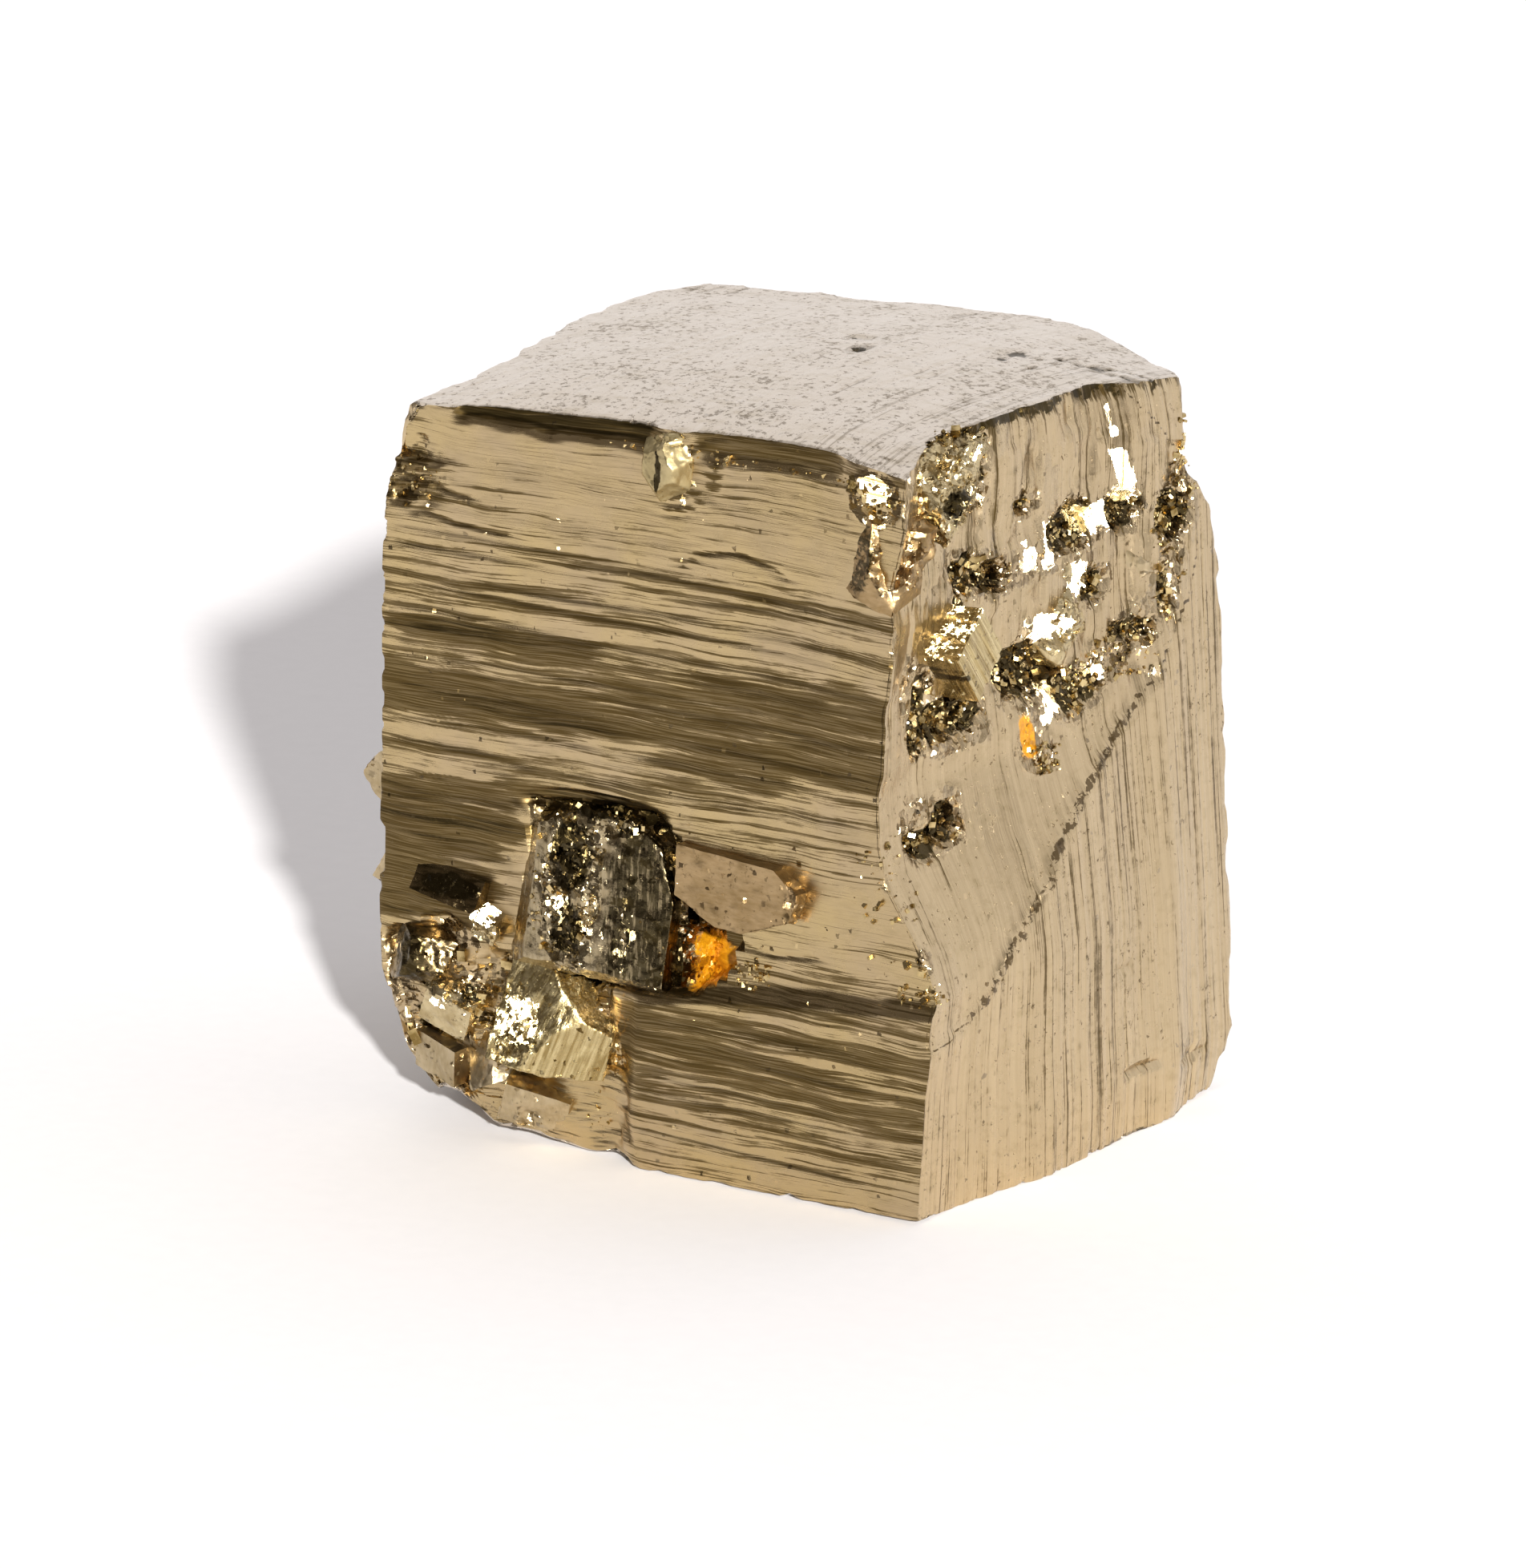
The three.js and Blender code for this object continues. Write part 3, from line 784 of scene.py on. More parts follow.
def front_relief(x, z):
    """Height of the front face out of its plain form, with its marks."""
    height = FRONT_MAP.read(FRONT_MAP.height, x, z) * (0.2 + 0.8 * window(x, -14.6, 13.0, 1.8))
    ragged = 0.25 * layered(x / 1.3, z / 1.3, 31)
    # Painted shade: steps that lean back are darkened in the colour, on top of the dark striae.
    tarnish_and_shade = front_tarnish_and_shade(x, z) + STEP_PAINTED_SHADE * FRONT_MAP.read(FRONT_MAP.lean, x, z)

    slab = ease_in(depth_inside(x, z, SLAB) + 0.4 * ragged, -0.15, 0.95)
    height += 0.5 * slab - 0.12
    tarnish_and_shade = np.maximum(tarnish_and_shade, 0.4 * window(slab, 0.15, 0.8, 0.15) * (z > 5) * (x > 4))

    cluster = ease_in(depth_inside(x, z, CLUSTER_HOLLOW) + ragged, -0.2, 0.5)
    calm = patch(x, z, (-4.6, 2.2), (8, 6.4), 0.8)
    ledges = np.round(2.4 * layered((x + 0.5 * z) / 2.0, (z - 0.4 * x) / 1.6, 33, 2)) / 2.4
    steps = 0.4 * ledges * (1 - 0.6 * calm) + 0.12 * layered(x / 1.6, z / 1.6, 34)
    height -= cluster * (0.7 + steps - 0.25 * slab)
    block = ease_in(depth_inside(x, z, BLOCK_HOLLOW) + 0.5 * ragged, -0.1, 0.25)
    height -= 0.55 * block
    # A shallow groove over the dark block; its darkness in the colour is painted shadow.
    shaded_groove = patch(x, z, (-3.5, 19.2), (9, 1.6))
    height -= 0.35 * shaded_groove
    cavity = ease_in(depth_inside(x, z, CAVITY) + 0.3 * ragged, -0.15, 0.15)
    height -= 2.1 * cavity
    pit = patch(x, z, (-13.4, 5.6), (3.0, 1.6))
    height -= 0.9 * pit

    under_edge = window(x, -11.5, -0.6, 1.0) + 0.5 * window(x, 3, 11, 1.2)
    chamfer = under_edge * ease_in(z + 0.9 * ragged, 38.6, 39.5)
    height -= 0.42 * chamfer
    corner = ease_in(-x + 0.5 * ragged, 11.2, 16.5) * ease_in(z + ragged, 36.4, 36.9)
    height -= 0.9 * corner
    ripple = np.hypot(x - KNOB_AT[0], (z - KNOB_AT[1]) * 1.15)
    height += 0.07 * np.sin(ripple * 9) * window(ripple, 0.6, 3.2, 0.5) * ease_in(x, 0.4, 1.2)
    rings = window(ripple, 1.0, 3.0, 0.3) * ease_in(np.sin(ripple * 9), 0.3, 0.8) * ease_in(x, 0.2, 1.0)
    tarnish_and_shade = np.maximum(tarnish_and_shade, 0.85 * rings * ease_in(39.6 - z, 0, 0.5))
    sparkle = patch(x + 2 * ragged, z + 2 * ragged, (-15.0, 35.7), (4.6, 3.2), 0.8)
    height -= 0.22 * sparkle * (1 + 0.8 * layered(x / 0.7, z / 0.7, 36))
    for points in FRONT_CRACKS:
        line = np.exp(-((distance_to(x + 0.2 * ragged, z + 0.2 * ragged, points) / 0.13) ** 2))
        height -= 0.1 * line
        tarnish_and_shade = np.maximum(tarnish_and_shade, 0.7 * line)
    height += 0.01 * layered(x / 2.5, z / 1.2, 37)
    mottle = patch(x, z, (-9, 21), (15, 3.6))
    height += 0.04 * mottle * layered(x / 1.5, z / 0.6, 38)

    corner_break = patch(x, z, (14.0, 38.4), (3.6, 3.0))
    crumbly = 0.35 + 0.6 * ease_in(layered(x / 1.8, z / 1.8, 39, 2), -0.1, 0.3)
    crumbly = crumbly * (1 - 0.9 * calm)
    rough = np.clip(crumbly * cluster + block + 0.42 * sparkle + corner_break, 0, 1)
    # Darker colour: along the chamfer under the top edge, in the groove over the dark block as painted
    # shadow, and on the sparkly patch.
    tarnish_and_shade = np.maximum(tarnish_and_shade, 1.8 * chamfer + 1.1 * shaded_groove + 0.62 * sparkle)
    tarnish_and_shade *= 1 - 0.75 * cluster
    gleam = patch(x, z, (13.9, 38.9), (2.2, 1.5)) + 0.6 * patch(x, z, (-12.4, 7.2), (2.0, 1.4))
    deep = ease_in(z + 0.6 * ragged + 0.4 * (x - 3.6), 11.9, 13.1)
    tarnish_and_shade = np.maximum(tarnish_and_shade, cavity * deep)
    # A faint rust-coloured patch just under the dark block.
    under_block_tint = patch(x, z, (-1.6, 8.3), (1.8, 3.2)) * 0.3
    rust = np.clip(cavity * (1 - deep) + under_block_tint, 0, 1)
    dents = 0.35 * cluster * (1 - calm) * ease_in(ragged, 0.0, 0.2)
    holes = np.clip(0.45 * block + pit + 0.12 * sparkle + dents, 0, 1)
    return height, {"tarnish_and_shade": tarnish_and_shade, "rust": rust, "rough": rough, "pit": holes, "gleam": gleam}


# ---------------------------------------------------------------- relief of the right face

# Pits: (distance along Y, height, width, tall, deep).
RIGHT_PITS = (
    (-7.1, 32.9, 3.2, 1.8, 1.0),
    (-4.9, 32.2, 2.6, 1.7, 1.3),
    (2.0, 33.4, 3.9, 2.5, 1.2),
    (-1.9, 26.6, 5.7, 3.1, 1.5),
    (1.8, 24.9, 4.1, 2.2, 0.7),
    (-8.5, 25.5, 5.0, 2.1, 1.0),
    (-11.1, 26.2, 1.6, 4.7, 0.6),
    (-9.4, 20.0, 1.8, 1.7, 1.4),
    (-11.3, 19.4, 2.8, 1.5, 0.7),
    (6.5, 33.5, 2.3, 2.0, 0.9),
    (10.6, 32.5, 3.2, 2.7, 1.0),
    (-2.3, 35.6, 1.8, 1.0, 0.6),
    (3.9, 30.0, 2.5, 1.7, 0.7),
    (7.0, 26.9, 3.5, 1.3, 0.6),
    (9.8, 28.6, 1.4, 2.9, 0.6),
    (-15.1, 14.1, 0.4, 0.6, 0.6),
    (8.1, 24.4, 0.7, 0.8, 0.4),
    (-9.2, 38.3, 6.8, 5.0, 0.9),
    (3.2, 9.3, 1.7, 0.4, 0.25),
    (4.6, 3.6, 3.8, 0.5, 0.3),
    (9.6, 2.9, 3.1, 0.7, 0.3),
)
# Facets of the right face that lie one way and gleam together: (along Y, height, width, tall).
RIGHT_GLEAMS = (
    (6.5, 35.4, 1.2, 3.3),
    (4.3, 33.6, 3.1, 1.4),
    (-0.3, 33.1, 0.8, 2.3),
    (-1.9, 32.7, 1.3, 1.3),
    (0.2, 28.6, 3.7, 1.5),
    (2.2, 30.7, 1.9, 1.7),
    (-0.3, 24.7, 1.6, 1.4),
    (3.5, 25.3, 1.5, 0.9),
    (5.7, 37.9, 0.6, 0.6),
    (-1.1, 23.9, 1.1, 0.5),
)
# Lines along which the right face is crumbled.
RIGHT_CRUMBLES = (
    ((-12.4, 20.3), (-11.1, 20.7), (-9.0, 21.0)),
    ((-12.3, 28.7), (-11.1, 25.0), (-8.9, 24.2), (-6.5, 24.6)),
    ((-4.8, 27.7), (-2.1, 25.0), (1.2, 24.2), (5.5, 26.0), (8.7, 28.0), (10.6, 30.5), (11.0, 33.6),
     (12.1, 35.5)),
    ((-8.1, 33.3), (-2.6, 32.2), (2.0, 32.6), (6.4, 34.1)),
    ((-11.2, 36.4), (-6.9, 39.7)),
)
# The dark line along the upper edge of the tilted cube: a shallow crease whose darkness is painted shade.
CUBE_EDGE = ((-8.3, 31.8), (-5.8, 29.0), (-6.6, 28.0))
# The top edge's height along Y, and the reach of the dark crumbs under it.
TOP_EDGE = ((-15.2, 39.8), (-12.2, 40.5), (-6, 40.8), (0, 40.7), (4.8, 40.5), (9, 40.1), (15, 39.6))
TOP_CRUMBS = (-7, 11.5)
RIM_SCALE = 4.0
STRONG_LINES = (2.3, 2.6, 3.0, 6.5, 9.3, 10.0, 13.1, 15.2, -2.2, -5.0)


def right_relief(y, z):
    """Height of the right face out of its plain form, with its marks."""
    ragged = 0.16 * layered(y / 1.3, z / 1.3, 61)
    inside = hollow_reach(z) - DEPTH / 2 - y + ragged
    climbing = window(z, 10.3, 22.5, 1.5)
    broken = ease_in(inside, -0.05, 0.45) * ease_in(z, 9, 10.5)
    height = -BREAK_STEP * broken * climbing
    upper = broken * ease_in(z, 22, 27)
    unbroken = 0.8 * ease_in(z, 22, 24.5) + 1 - ease_in(z, 10.0, 10.6)
    plateau = ease_in(field(y / 1.7, z / 4.5, 62), 0.0, 0.14)
    plateau = plateau + 0.6 * ease_in(field(y / 1.1, z / 1.8, 60), 0.25, 0.4)
    height -= 0.2 * plateau * upper
    height += 0.02 * broken * layered(y / 0.8, z / 0.8, 63)

    striae = 0.03 * field(y / 0.5, z / 40, 64) + 0.022 * field(y / 0.25, z / 30, 65)
    height += striae * (1 - 0.5 * broken)
    lines = 0
    for number, place in enumerate(STRONG_LINES):
        wander = 0.08 * field(z / 9, 0 * z, 70 + number)
        core = np.exp(-(((y - place - wander) / 0.09) ** 2))
        lines = lines + core * ease_in(field(z / 5, 0 * z, 90 + number), -0.7, 0.5)
    height -= 0.05 * lines

    holes, crumbly = 0, 0
    for number, (along, up, wide, tall, deep) in enumerate(RIGHT_PITS):
        shift = 0.3 * layered(y / 0.9, z / 0.9, 110 + number, 3)
        a, b = y + shift * wide * 0.25, z + shift * tall * 0.35
        bowl = patch(a, b, (along, up), (wide, tall), 0.5)
        height -= deep * bowl * (0.8 + 0.3 * field(y / 0.4, z / 0.4, 130))
        holes = np.maximum(holes, bowl * min(0.85, deep))
        border = patch(a, b, (along, up), (wide + 0.9, tall + 0.9), 0.6)
        crumbly = np.maximum(crumbly, border * ease_in(deep, 0.2, 0.6))
    gleam = 0
    for along, up, wide, tall in RIGHT_GLEAMS:
        slide = 0.35 * (z - up) * (1 if along > 4 else -0.3)
        gleam = np.maximum(gleam, tile(y + slide, z, (along, up), (wide, tall), 0.7))
    under_top = z - np.interp(y, *zip(*TOP_EDGE)) + 1.3 * ragged
    top_crumbs = ease_in(under_top, -0.75, -0.35) * window(y, *TOP_CRUMBS, 2)
    top_crumbs = top_crumbs * (0.55 + 0.45 * ease_in(field(y / 2.4, 0 * y, 66), -0.3, 0.2))
    height -= 0.16 * top_crumbs
    holes = np.maximum(holes, 0.62 * top_crumbs)
    # Painted shade: the crease along the tilted cube's upper edge is darkened through the pit mark.
    outline = np.exp(-((distance_to(y, z, CUBE_EDGE) / 0.24) ** 2))
    height -= 0.25 * outline
    holes = np.maximum(holes, 0.75 * outline)
    for points in RIGHT_CRUMBLES:
        crumbly = np.maximum(crumbly, 1 - ease_in(distance_to(y, z, points) + ragged, 0.6, 1.5))
    rust = 1.2 * patch(y + 2.5 * ragged, z + ragged, (-2.9, 23.2), (1.3, 2.4), 0.8)
    rust = rust + 0.2 * patch(y, z, (-8.6, 25.4), (2.5, 1.4))
    crumbly = np.maximum(crumbly, patch(y, z, (-2.2, 22.6), (3.0, 3.0), 0.6))
    plain = 0.13 - 0.13 * broken * window(z, 0, 31, 3)
    marks = {
        "tarnish_and_shade": np.clip(plain + 0.35 * lines + 0.1 * crumbly + 0.7 * top_crumbs, 0, 1),
        "rust": rust,
        "rough": np.clip(np.maximum(crumbly, 0.27 * upper), 0, 1),
        "pit": holes,
        "rim": np.clip(0.5 + inside / RIM_SCALE + 0.3 * unbroken * np.sign(inside), 0, 1),
        "gleam": gleam,
    }
    return height, marks


# ---------------------------------------------------------------- relief of the other faces


def top_relief(x, y):
    """Height of the top face out of its plain form, with its marks."""
    height = 0.02 * field(x / 0.5, y / 20, 161) + 0.012 * field(x / 0.22, y / 12, 162)
    height += 0.06 * layered(x / 6, y / 9, 163, 3)
    pit = patch(x, y, (2.0, 2.8), (1.3, 0.9)) + 0.6 * patch(x, y, (0.3, 5.5), (1.6, 0.4))
    back_lines = window(x, 9, 16, 1) * window(y, 5.5, 9.5, 0.6)
    scratch = back_lines * ease_in(field(x / 2.2, y / 0.25, 164), 0.35, 0.6)
    height -= 0.3 * pit + 0.12 * scratch
    cracks = ease_in(field(x / 0.5, y / 2.6, 165), 0.72, 0.85)
    cracks = cracks * ease_in(layered(x / 5, y / 5, 166), 0.0, 0.5)
    height -= 0.05 * cracks
    marks = {
        "tarnish_and_shade": np.clip(0.02 + 0.5 * scratch + 0.4 * cracks + 0.24 * ease_in(x, 3, 14), 0, 1),
        "rust": 0.3 * patch(x, y, (2.0, 2.8), (0.9, 0.6)),
        "rough": pit,
        "pit": 0.8 * pit + 0.5 * scratch,
    }
    return height, marks


def hidden_relief(seed, strength):
    """Relief for a face that is striated like its opposite: along the first axis it is given."""

    def relief(along, across):
        warped = across + 0.3 * field(along / 9, across / 5, seed)
        steps = ease_in(field(along / 14, warped / 1.6, seed + 1), -0.1, 0.25)
        fine = field(along / 10, warped / 0.6, seed + 2)
        ragged = layered(along / 2.2, across / 2.2, seed + 3)
        hollow = ease_in(layered(along / 6, across / 5, seed + 4), 0.5, 0.75)
        height = strength * (0.22 * steps + 0.05 * fine) - hollow * (0.5 + 0.2 * ragged)
        tarnish_and_shade = np.clip((0.15 + 0.4 * (1 - steps)) * strength, 0, 1)
        return height, {"tarnish_and_shade": tarnish_and_shade, "rough": hollow, "pit": 0.4 * hollow}

    return relief


# Every face: (axis, share on it, way out, the two axes it lies along, its relief).
FACES = (
    (1, 0, -1, (0, 2), front_relief),
    (0, 1, 1, (1, 2), right_relief),
    (2, 1, 1, (0, 1), top_relief),
    (1, 1, 1, (0, 2), hidden_relief(201, 1.0)),
    (0, 0, -1, (2, 1), hidden_relief(221, 0.8)),
    (2, 0, -1, (1, 0), hidden_relief(241, 0.0)),
)
SIDES = (WIDTH, DEPTH, HEIGHT)
MARKS = ("tarnish_and_shade", "rust", "rough", "pit", "rim", "gleam")
EDGE_FADE = 1.0
CHIP_REACH = 0.5


def full_form(shares):
    """Places on the finished big cube, and how strong each mark is there."""
    plain = plain_form(shares)
    places = plain.copy()
    state = np.zeros((len(shares), len(MARKS)))
    for axis, end, way, lies, relief in FACES:
        far = np.abs(shares[:, axis] - end) * SIDES[axis]
        near = np.flatnonzero(far < EDGE_FADE)
        height, marks = relief(*(plain[near, k] for k in lies))
        if axis == 2 and end == 0:
            height = 0 * height
        places[near, axis] += way * height * (1 - far[near] / EDGE_FADE)
        on_face = near[far[near] < 1e-6]
        for name, values in marks.items():
            column = MARKS.index(name)
            state[on_face, column] = np.maximum(state[on_face, column], values[far[near] < 1e-6])
    return wear_edges(shares, places), state


def wear_edges(shares, places):
    """Chips and softens the cube's edges by drawing their points inwards."""
    off = np.minimum(shares, 1 - shares) * SIDES
    sides = np.sort(off, axis=1)
    near = np.clip(1 - sides[:, 1] / CHIP_REACH, 0, 1) ** 2
    a, b, c = places.T
    nick = 0.5 + 0.5 * layered((a + 0.7 * b) / 0.8, (c + 0.6 * b) / 0.8, 301)
    inward = np.sign(0.5 - shares) * (off < CHIP_REACH)
    return places + inward * (near * (0.03 + 0.3 * np.clip(nick - 0.35, 0, 1) ** 2))[:, None]


# ---------------------------------------------------------------- the big cube's mesh

# Cells along X, Y and Z, the finer cuts of the visible faces, how much closer the cells lie
# towards the edges, and the sharpest bend that is still shaded smooth.
CELLS = (72, 64, 98)
VISIBLE_CUTS = 3
GRADING = 0.2
CUBE_SHARP = 38
CRYSTAL_SHARP = 30


def unit_box(cells):
    """A unit box from corner to corner of the shares, cut into cells along each axis."""
    bm = bmesh.new()
    bmesh.ops.create_cube(bm, size=1.0, matrix=Matrix.Translation((0.5, 0.5, 0.5)))
    for axis, count in enumerate(cells):
        along = [e for e in bm.edges if abs(e.verts[0].co[axis] - e.verts[1].co[axis]) > 1e-6]
        bmesh.ops.subdivide_edges(bm, edges=along, cuts=count - 1, use_grid_fill=True)
    return bm


def cut_finer(bm, face_axis, face_end, across, cuts):
    """Cuts the cells of one face finer across its striae."""

    def lies_across(edge):
        first, second = (v.co for v in edge.verts)
        on_face = all(abs(place[face_axis] - face_end) < 1e-6 for place in (first, second))
        return on_face and abs(first[across] - second[across]) > 1e-6

    edges = [e for e in bm.edges if lies_across(e)]
    bmesh.ops.subdivide_edges(bm, edges=edges, cuts=cuts, use_grid_fill=True)


def graded(shares):
    """Draws the cells closer together towards the edges."""
    return shares - GRADING * np.sin(2 * np.pi * shares) / (2 * np.pi)


def store_corners(mesh, name, values):
    """Keeps three numbers of every face corner as a colour attribute."""
    layer = mesh.attributes.new(name, "FLOAT_COLOR", "CORNER")
    colours = np.concatenate((values, np.ones((len(values), 1))), axis=1)
    layer.data.foreach_set("color", colours.ravel())


def store_marks(mesh, name, marks):
    """Keeps three numbers of every vertex as a colour attribute of the face corners."""
    store_corners(mesh, name, marks[read_numbers(mesh.loops, "vertex_index")])


def make_big_cube():
    bm = unit_box(CELLS)
    cut_finer(bm, 1, 0, 2, VISIBLE_CUTS)
    cut_finer(bm, 0, 1, 1, VISIBLE_CUTS)
    cut_finer(bm, 2, 1, 0, VISIBLE_CUTS)
    mesh = to_mesh(bm, "big_cube")
    sides = np.abs(read_vectors(mesh.polygons, "normal")).argmax(axis=1)
    corners = read_numbers(mesh.polygons, "loop_total")
    facing = np.eye(3)[np.repeat(sides, corners)][:, (1, 0, 2)]

    shares = graded(np.clip(read_places(mesh), 0, 1))
    places, state = full_form(shares)
    places[:, 2] = np.maximum(places[:, 2], 0)
    write_places(mesh, places)
    mesh.shade_smooth()
    mesh.set_sharp_from_angle(angle=math.radians(CUBE_SHARP))
    store_corners(mesh, "facing", facing)
    store_marks(mesh, "state", state[:, :3])
    store_marks(mesh, "breaks", state[:, 3:])
    return add_piece("big_cube", mesh, host_finish(), "host_crystal")


# ---------------------------------------------------------------- the smaller crystals


def to_home(point):
    """A frame place as millimetres from HOME."""
    return (Vector(point) - HOME) / MM


def middle_of(node):
    low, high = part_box(node)
    return np.array(to_home((low + high) / 2))


def turned(degrees):
    return np.array(Euler([math.radians(value) for value in degrees]).to_matrix())


def press_flat(places, planes):
    """Presses a form flat against planes, each given as a way out and a distance."""
    for way, distance in planes:
        way = np.array(way) / np.linalg.norm(way)
        over = np.maximum(places @ way - distance, 0)
        places = places - over[:, None] * way
    return places


def blocky(places, seed, size):
    """Broken, stepped relief from -1 to 1."""
    a, b, c = (places / size).T
    plain = layered(a, b, seed, 3, 0.6, c)
    return 0.6 * np.round(plain * 2.2) / 2.2 + 0.4 * plain


def nothing(places):
    """No marks anywhere: how broken, how gleaming and how dark."""
    return 0 * places


def make_crystal(node, size, turn, material, planes=(), cell=0.2, rough=0.05, steps=None, shift=(0, 0, 0),
                 marks=nothing):
    """A crystal grown into the cube: a box, pressed flat by planes, with broken or stepped faces."""
    mesh = to_mesh(unit_box([max(4, round(length / cell)) for length in size]), node)
    places = (read_places(mesh) - 0.5) * size @ turned(turn).T
    places = press_flat(places, planes) + middle_of(node) + shift
    write_places(mesh, places)
    normals = read_vectors(mesh.vertices, "normal")
    state = np.clip(marks(places), 0, 1)
    amount = rough + 0.22 * state[:, 0]
    relief = amount * blocky(places, len(node), 0.9) + 0.012 * layered(*(places[:, :2] / 0.7).T, 7, 3)
    if steps is not None:
        along = places @ (np.array(steps[0]) / np.linalg.norm(steps[0]))
        relief = relief + steps[2] * ease_in(field(along / steps[1], 0 * along, 9), -0.15, 0.15)
    write_places(mesh, places + normals * np.reshape(relief, (-1, 1)))
    mesh.shade_smooth()
    mesh.set_sharp_from_angle(angle=math.radians(CRYSTAL_SHARP))
    store_marks(mesh, "state", state)
    return add_piece(node + "_look", mesh, material, node)


def marked(broken=(), gleaming=(), dark=()):
    """Marks on a crystal from patches of (x, z, wide, tall, strength) seen from the front."""

    def marks(places):
        x, z = places[:, 0], places[:, 2]
        wavy = 0.2 * layered(x / 0.8, z / 0.8, 401, 3)
        columns = []
        for patches in (broken, gleaming, dark):
            total = 0 * x
            for at_x, at_z, wide, tall, strength in patches:
                mark = patch(x + wavy, z + wavy, (at_x, at_z), (wide, tall), 0.5)
                total = np.maximum(total, strength * mark)
            columns.append(total)
        return np.stack(columns, 1)

    return marks


def gleaming_facet(way, marks):
    """Adds to a crystal's marks a gleam on the facet that lies furthest along a way out."""
    way = np.array(way) / np.linalg.norm(way)

    def with_facet(places):
        state = marks(places)
        along = places @ way
        on_facet = ease_in(along, along.max() - 0.4, along.max() - 0.2)
        state[:, 1] = np.maximum(state[:, 1], 0.42 * on_facet)
        return state

    return with_facet


def marked_side(broken=(), gleaming=(), dark=()):
    """Marks on a crystal of the right face, from patches of (y, z, wide, tall, strength)."""
    marks = marked(broken, gleaming, dark)
    return lambda places: marks(places[:, (1, 0, 2)])


def make_dark_block(finishes):
    planes = (
        ((-0.62, -0.77, 0.15), 3.75),
        ((0.2, -0.95, 0.16), 2.6),
        ((0, -0.62, -0.78), 4.6),
        ((0.6, 0, 0.8), 5.2),
        ((-0.35, -0.2, 0.92), 4.75),
        ((0.95, 0, 0.32), 5.2),
        ((0.96, 0, -0.28), 6.4),
        ((-0.9, 0, -0.43), 5.7),
    )
    broken = ((-4.1, 14.8, 3.6, 9.5, 1), (-3.0, 18.6, 6.0, 1.6, 0.9), (-1.0, 12.6, 0.8, 4.0, 0.6))
    gleaming = ((-3.4, 17.2, 0.8, 1.6, 0.5), (-4.6, 13.8, 0.7, 2.0, 0.48), (-0.5, 12.8, 0.35, 2.2, 0.55))
    # The last dark patch, along the block's top, is painted shadow.
    dark = ((-4.2, 16.8, 2.6, 3.6, 0.75), (-4.1, 12.8, 2.2, 3.0, 0.5), (0.4, 14.4, 5.0, 14, 0.45),
            (-2.0, 19.3, 7.0, 1.0, 0.8))
    return make_crystal("dark_block_crystal", (10.8, 5.2, 9), (-9, 3, -2), finishes["dark"], planes,
                        cell=0.16, steps=((1, 0, 0.05), 0.35, 0.03), shift=(-0.45, -0.2, 0),
                        marks=marked(broken, gleaming, dark))


def make_plate(finishes):
    planes = (
        ((0.6, 0, 0.8), 2.9),
        ((0.96, 0, -0.28), 3.55),
        ((0.35, 0, -0.94), 1.95),
        ((-0.45, 0, -0.9), 2.3),
    )
    make_crystal("plate_crystal", (7.8, 2.4, 3.9), (-1, 3, -4), finishes["dusky"], planes, cell=0.15,
                 shift=(0, 0.75, 0), marks=marked(broken=((9.4, 15.6, 0.9, 5, 0.7),)))


def make_pale_striated_crystal(finishes):
    planes = (
        ((0.0, -0.95, 0.3), 2.3),
        ((0.55, -0.8, -0.2), 2.5),
        ((0.75, -0.3, 0.6), 2.9),
        ((0, -0.2, -1), 2.6),
    )
    marks = marked(broken=((-7.4, 7.2, 3.6, 4.2, 1),), gleaming=((-7.0, 7.4, 3.4, 2.8, 0.5),))
    make_crystal("pale_striated_crystal", (6.4, 5.2, 5.6), (-16, 14, 22), finishes["ribbed"], planes,
                 cell=0.14, steps=((0.9, 0, -0.42), 0.35, 0.06), marks=marks)


def make_crystals_beside_block(finishes):
    """The dark prism and the tiny glinting cube to the left of the block."""
    make_crystal("dark_prism_crystal", (4.6, 3.2, 1.9), (-24, 8, -8), finishes["black"], cell=0.12,
                 rough=0.03, shift=(0.3, 0.1, 0), marks=marked(dark=((-12.0, 13.8, 4, 1.2, 0.6),)))
    marks = marked(gleaming=((-9.4, 12.7, 1.3, 1.3, 0.62),), broken=((-9.8, 12.0, 2.2, 2.0, 0.8),))
    make_crystal("glinting_cube_crystal", (1.5, 1.9, 1.5), (24, 20, 10), finishes["pale"], cell=0.12,
                 rough=0.03, shift=(0.55, 0, 0.9), marks=marks)


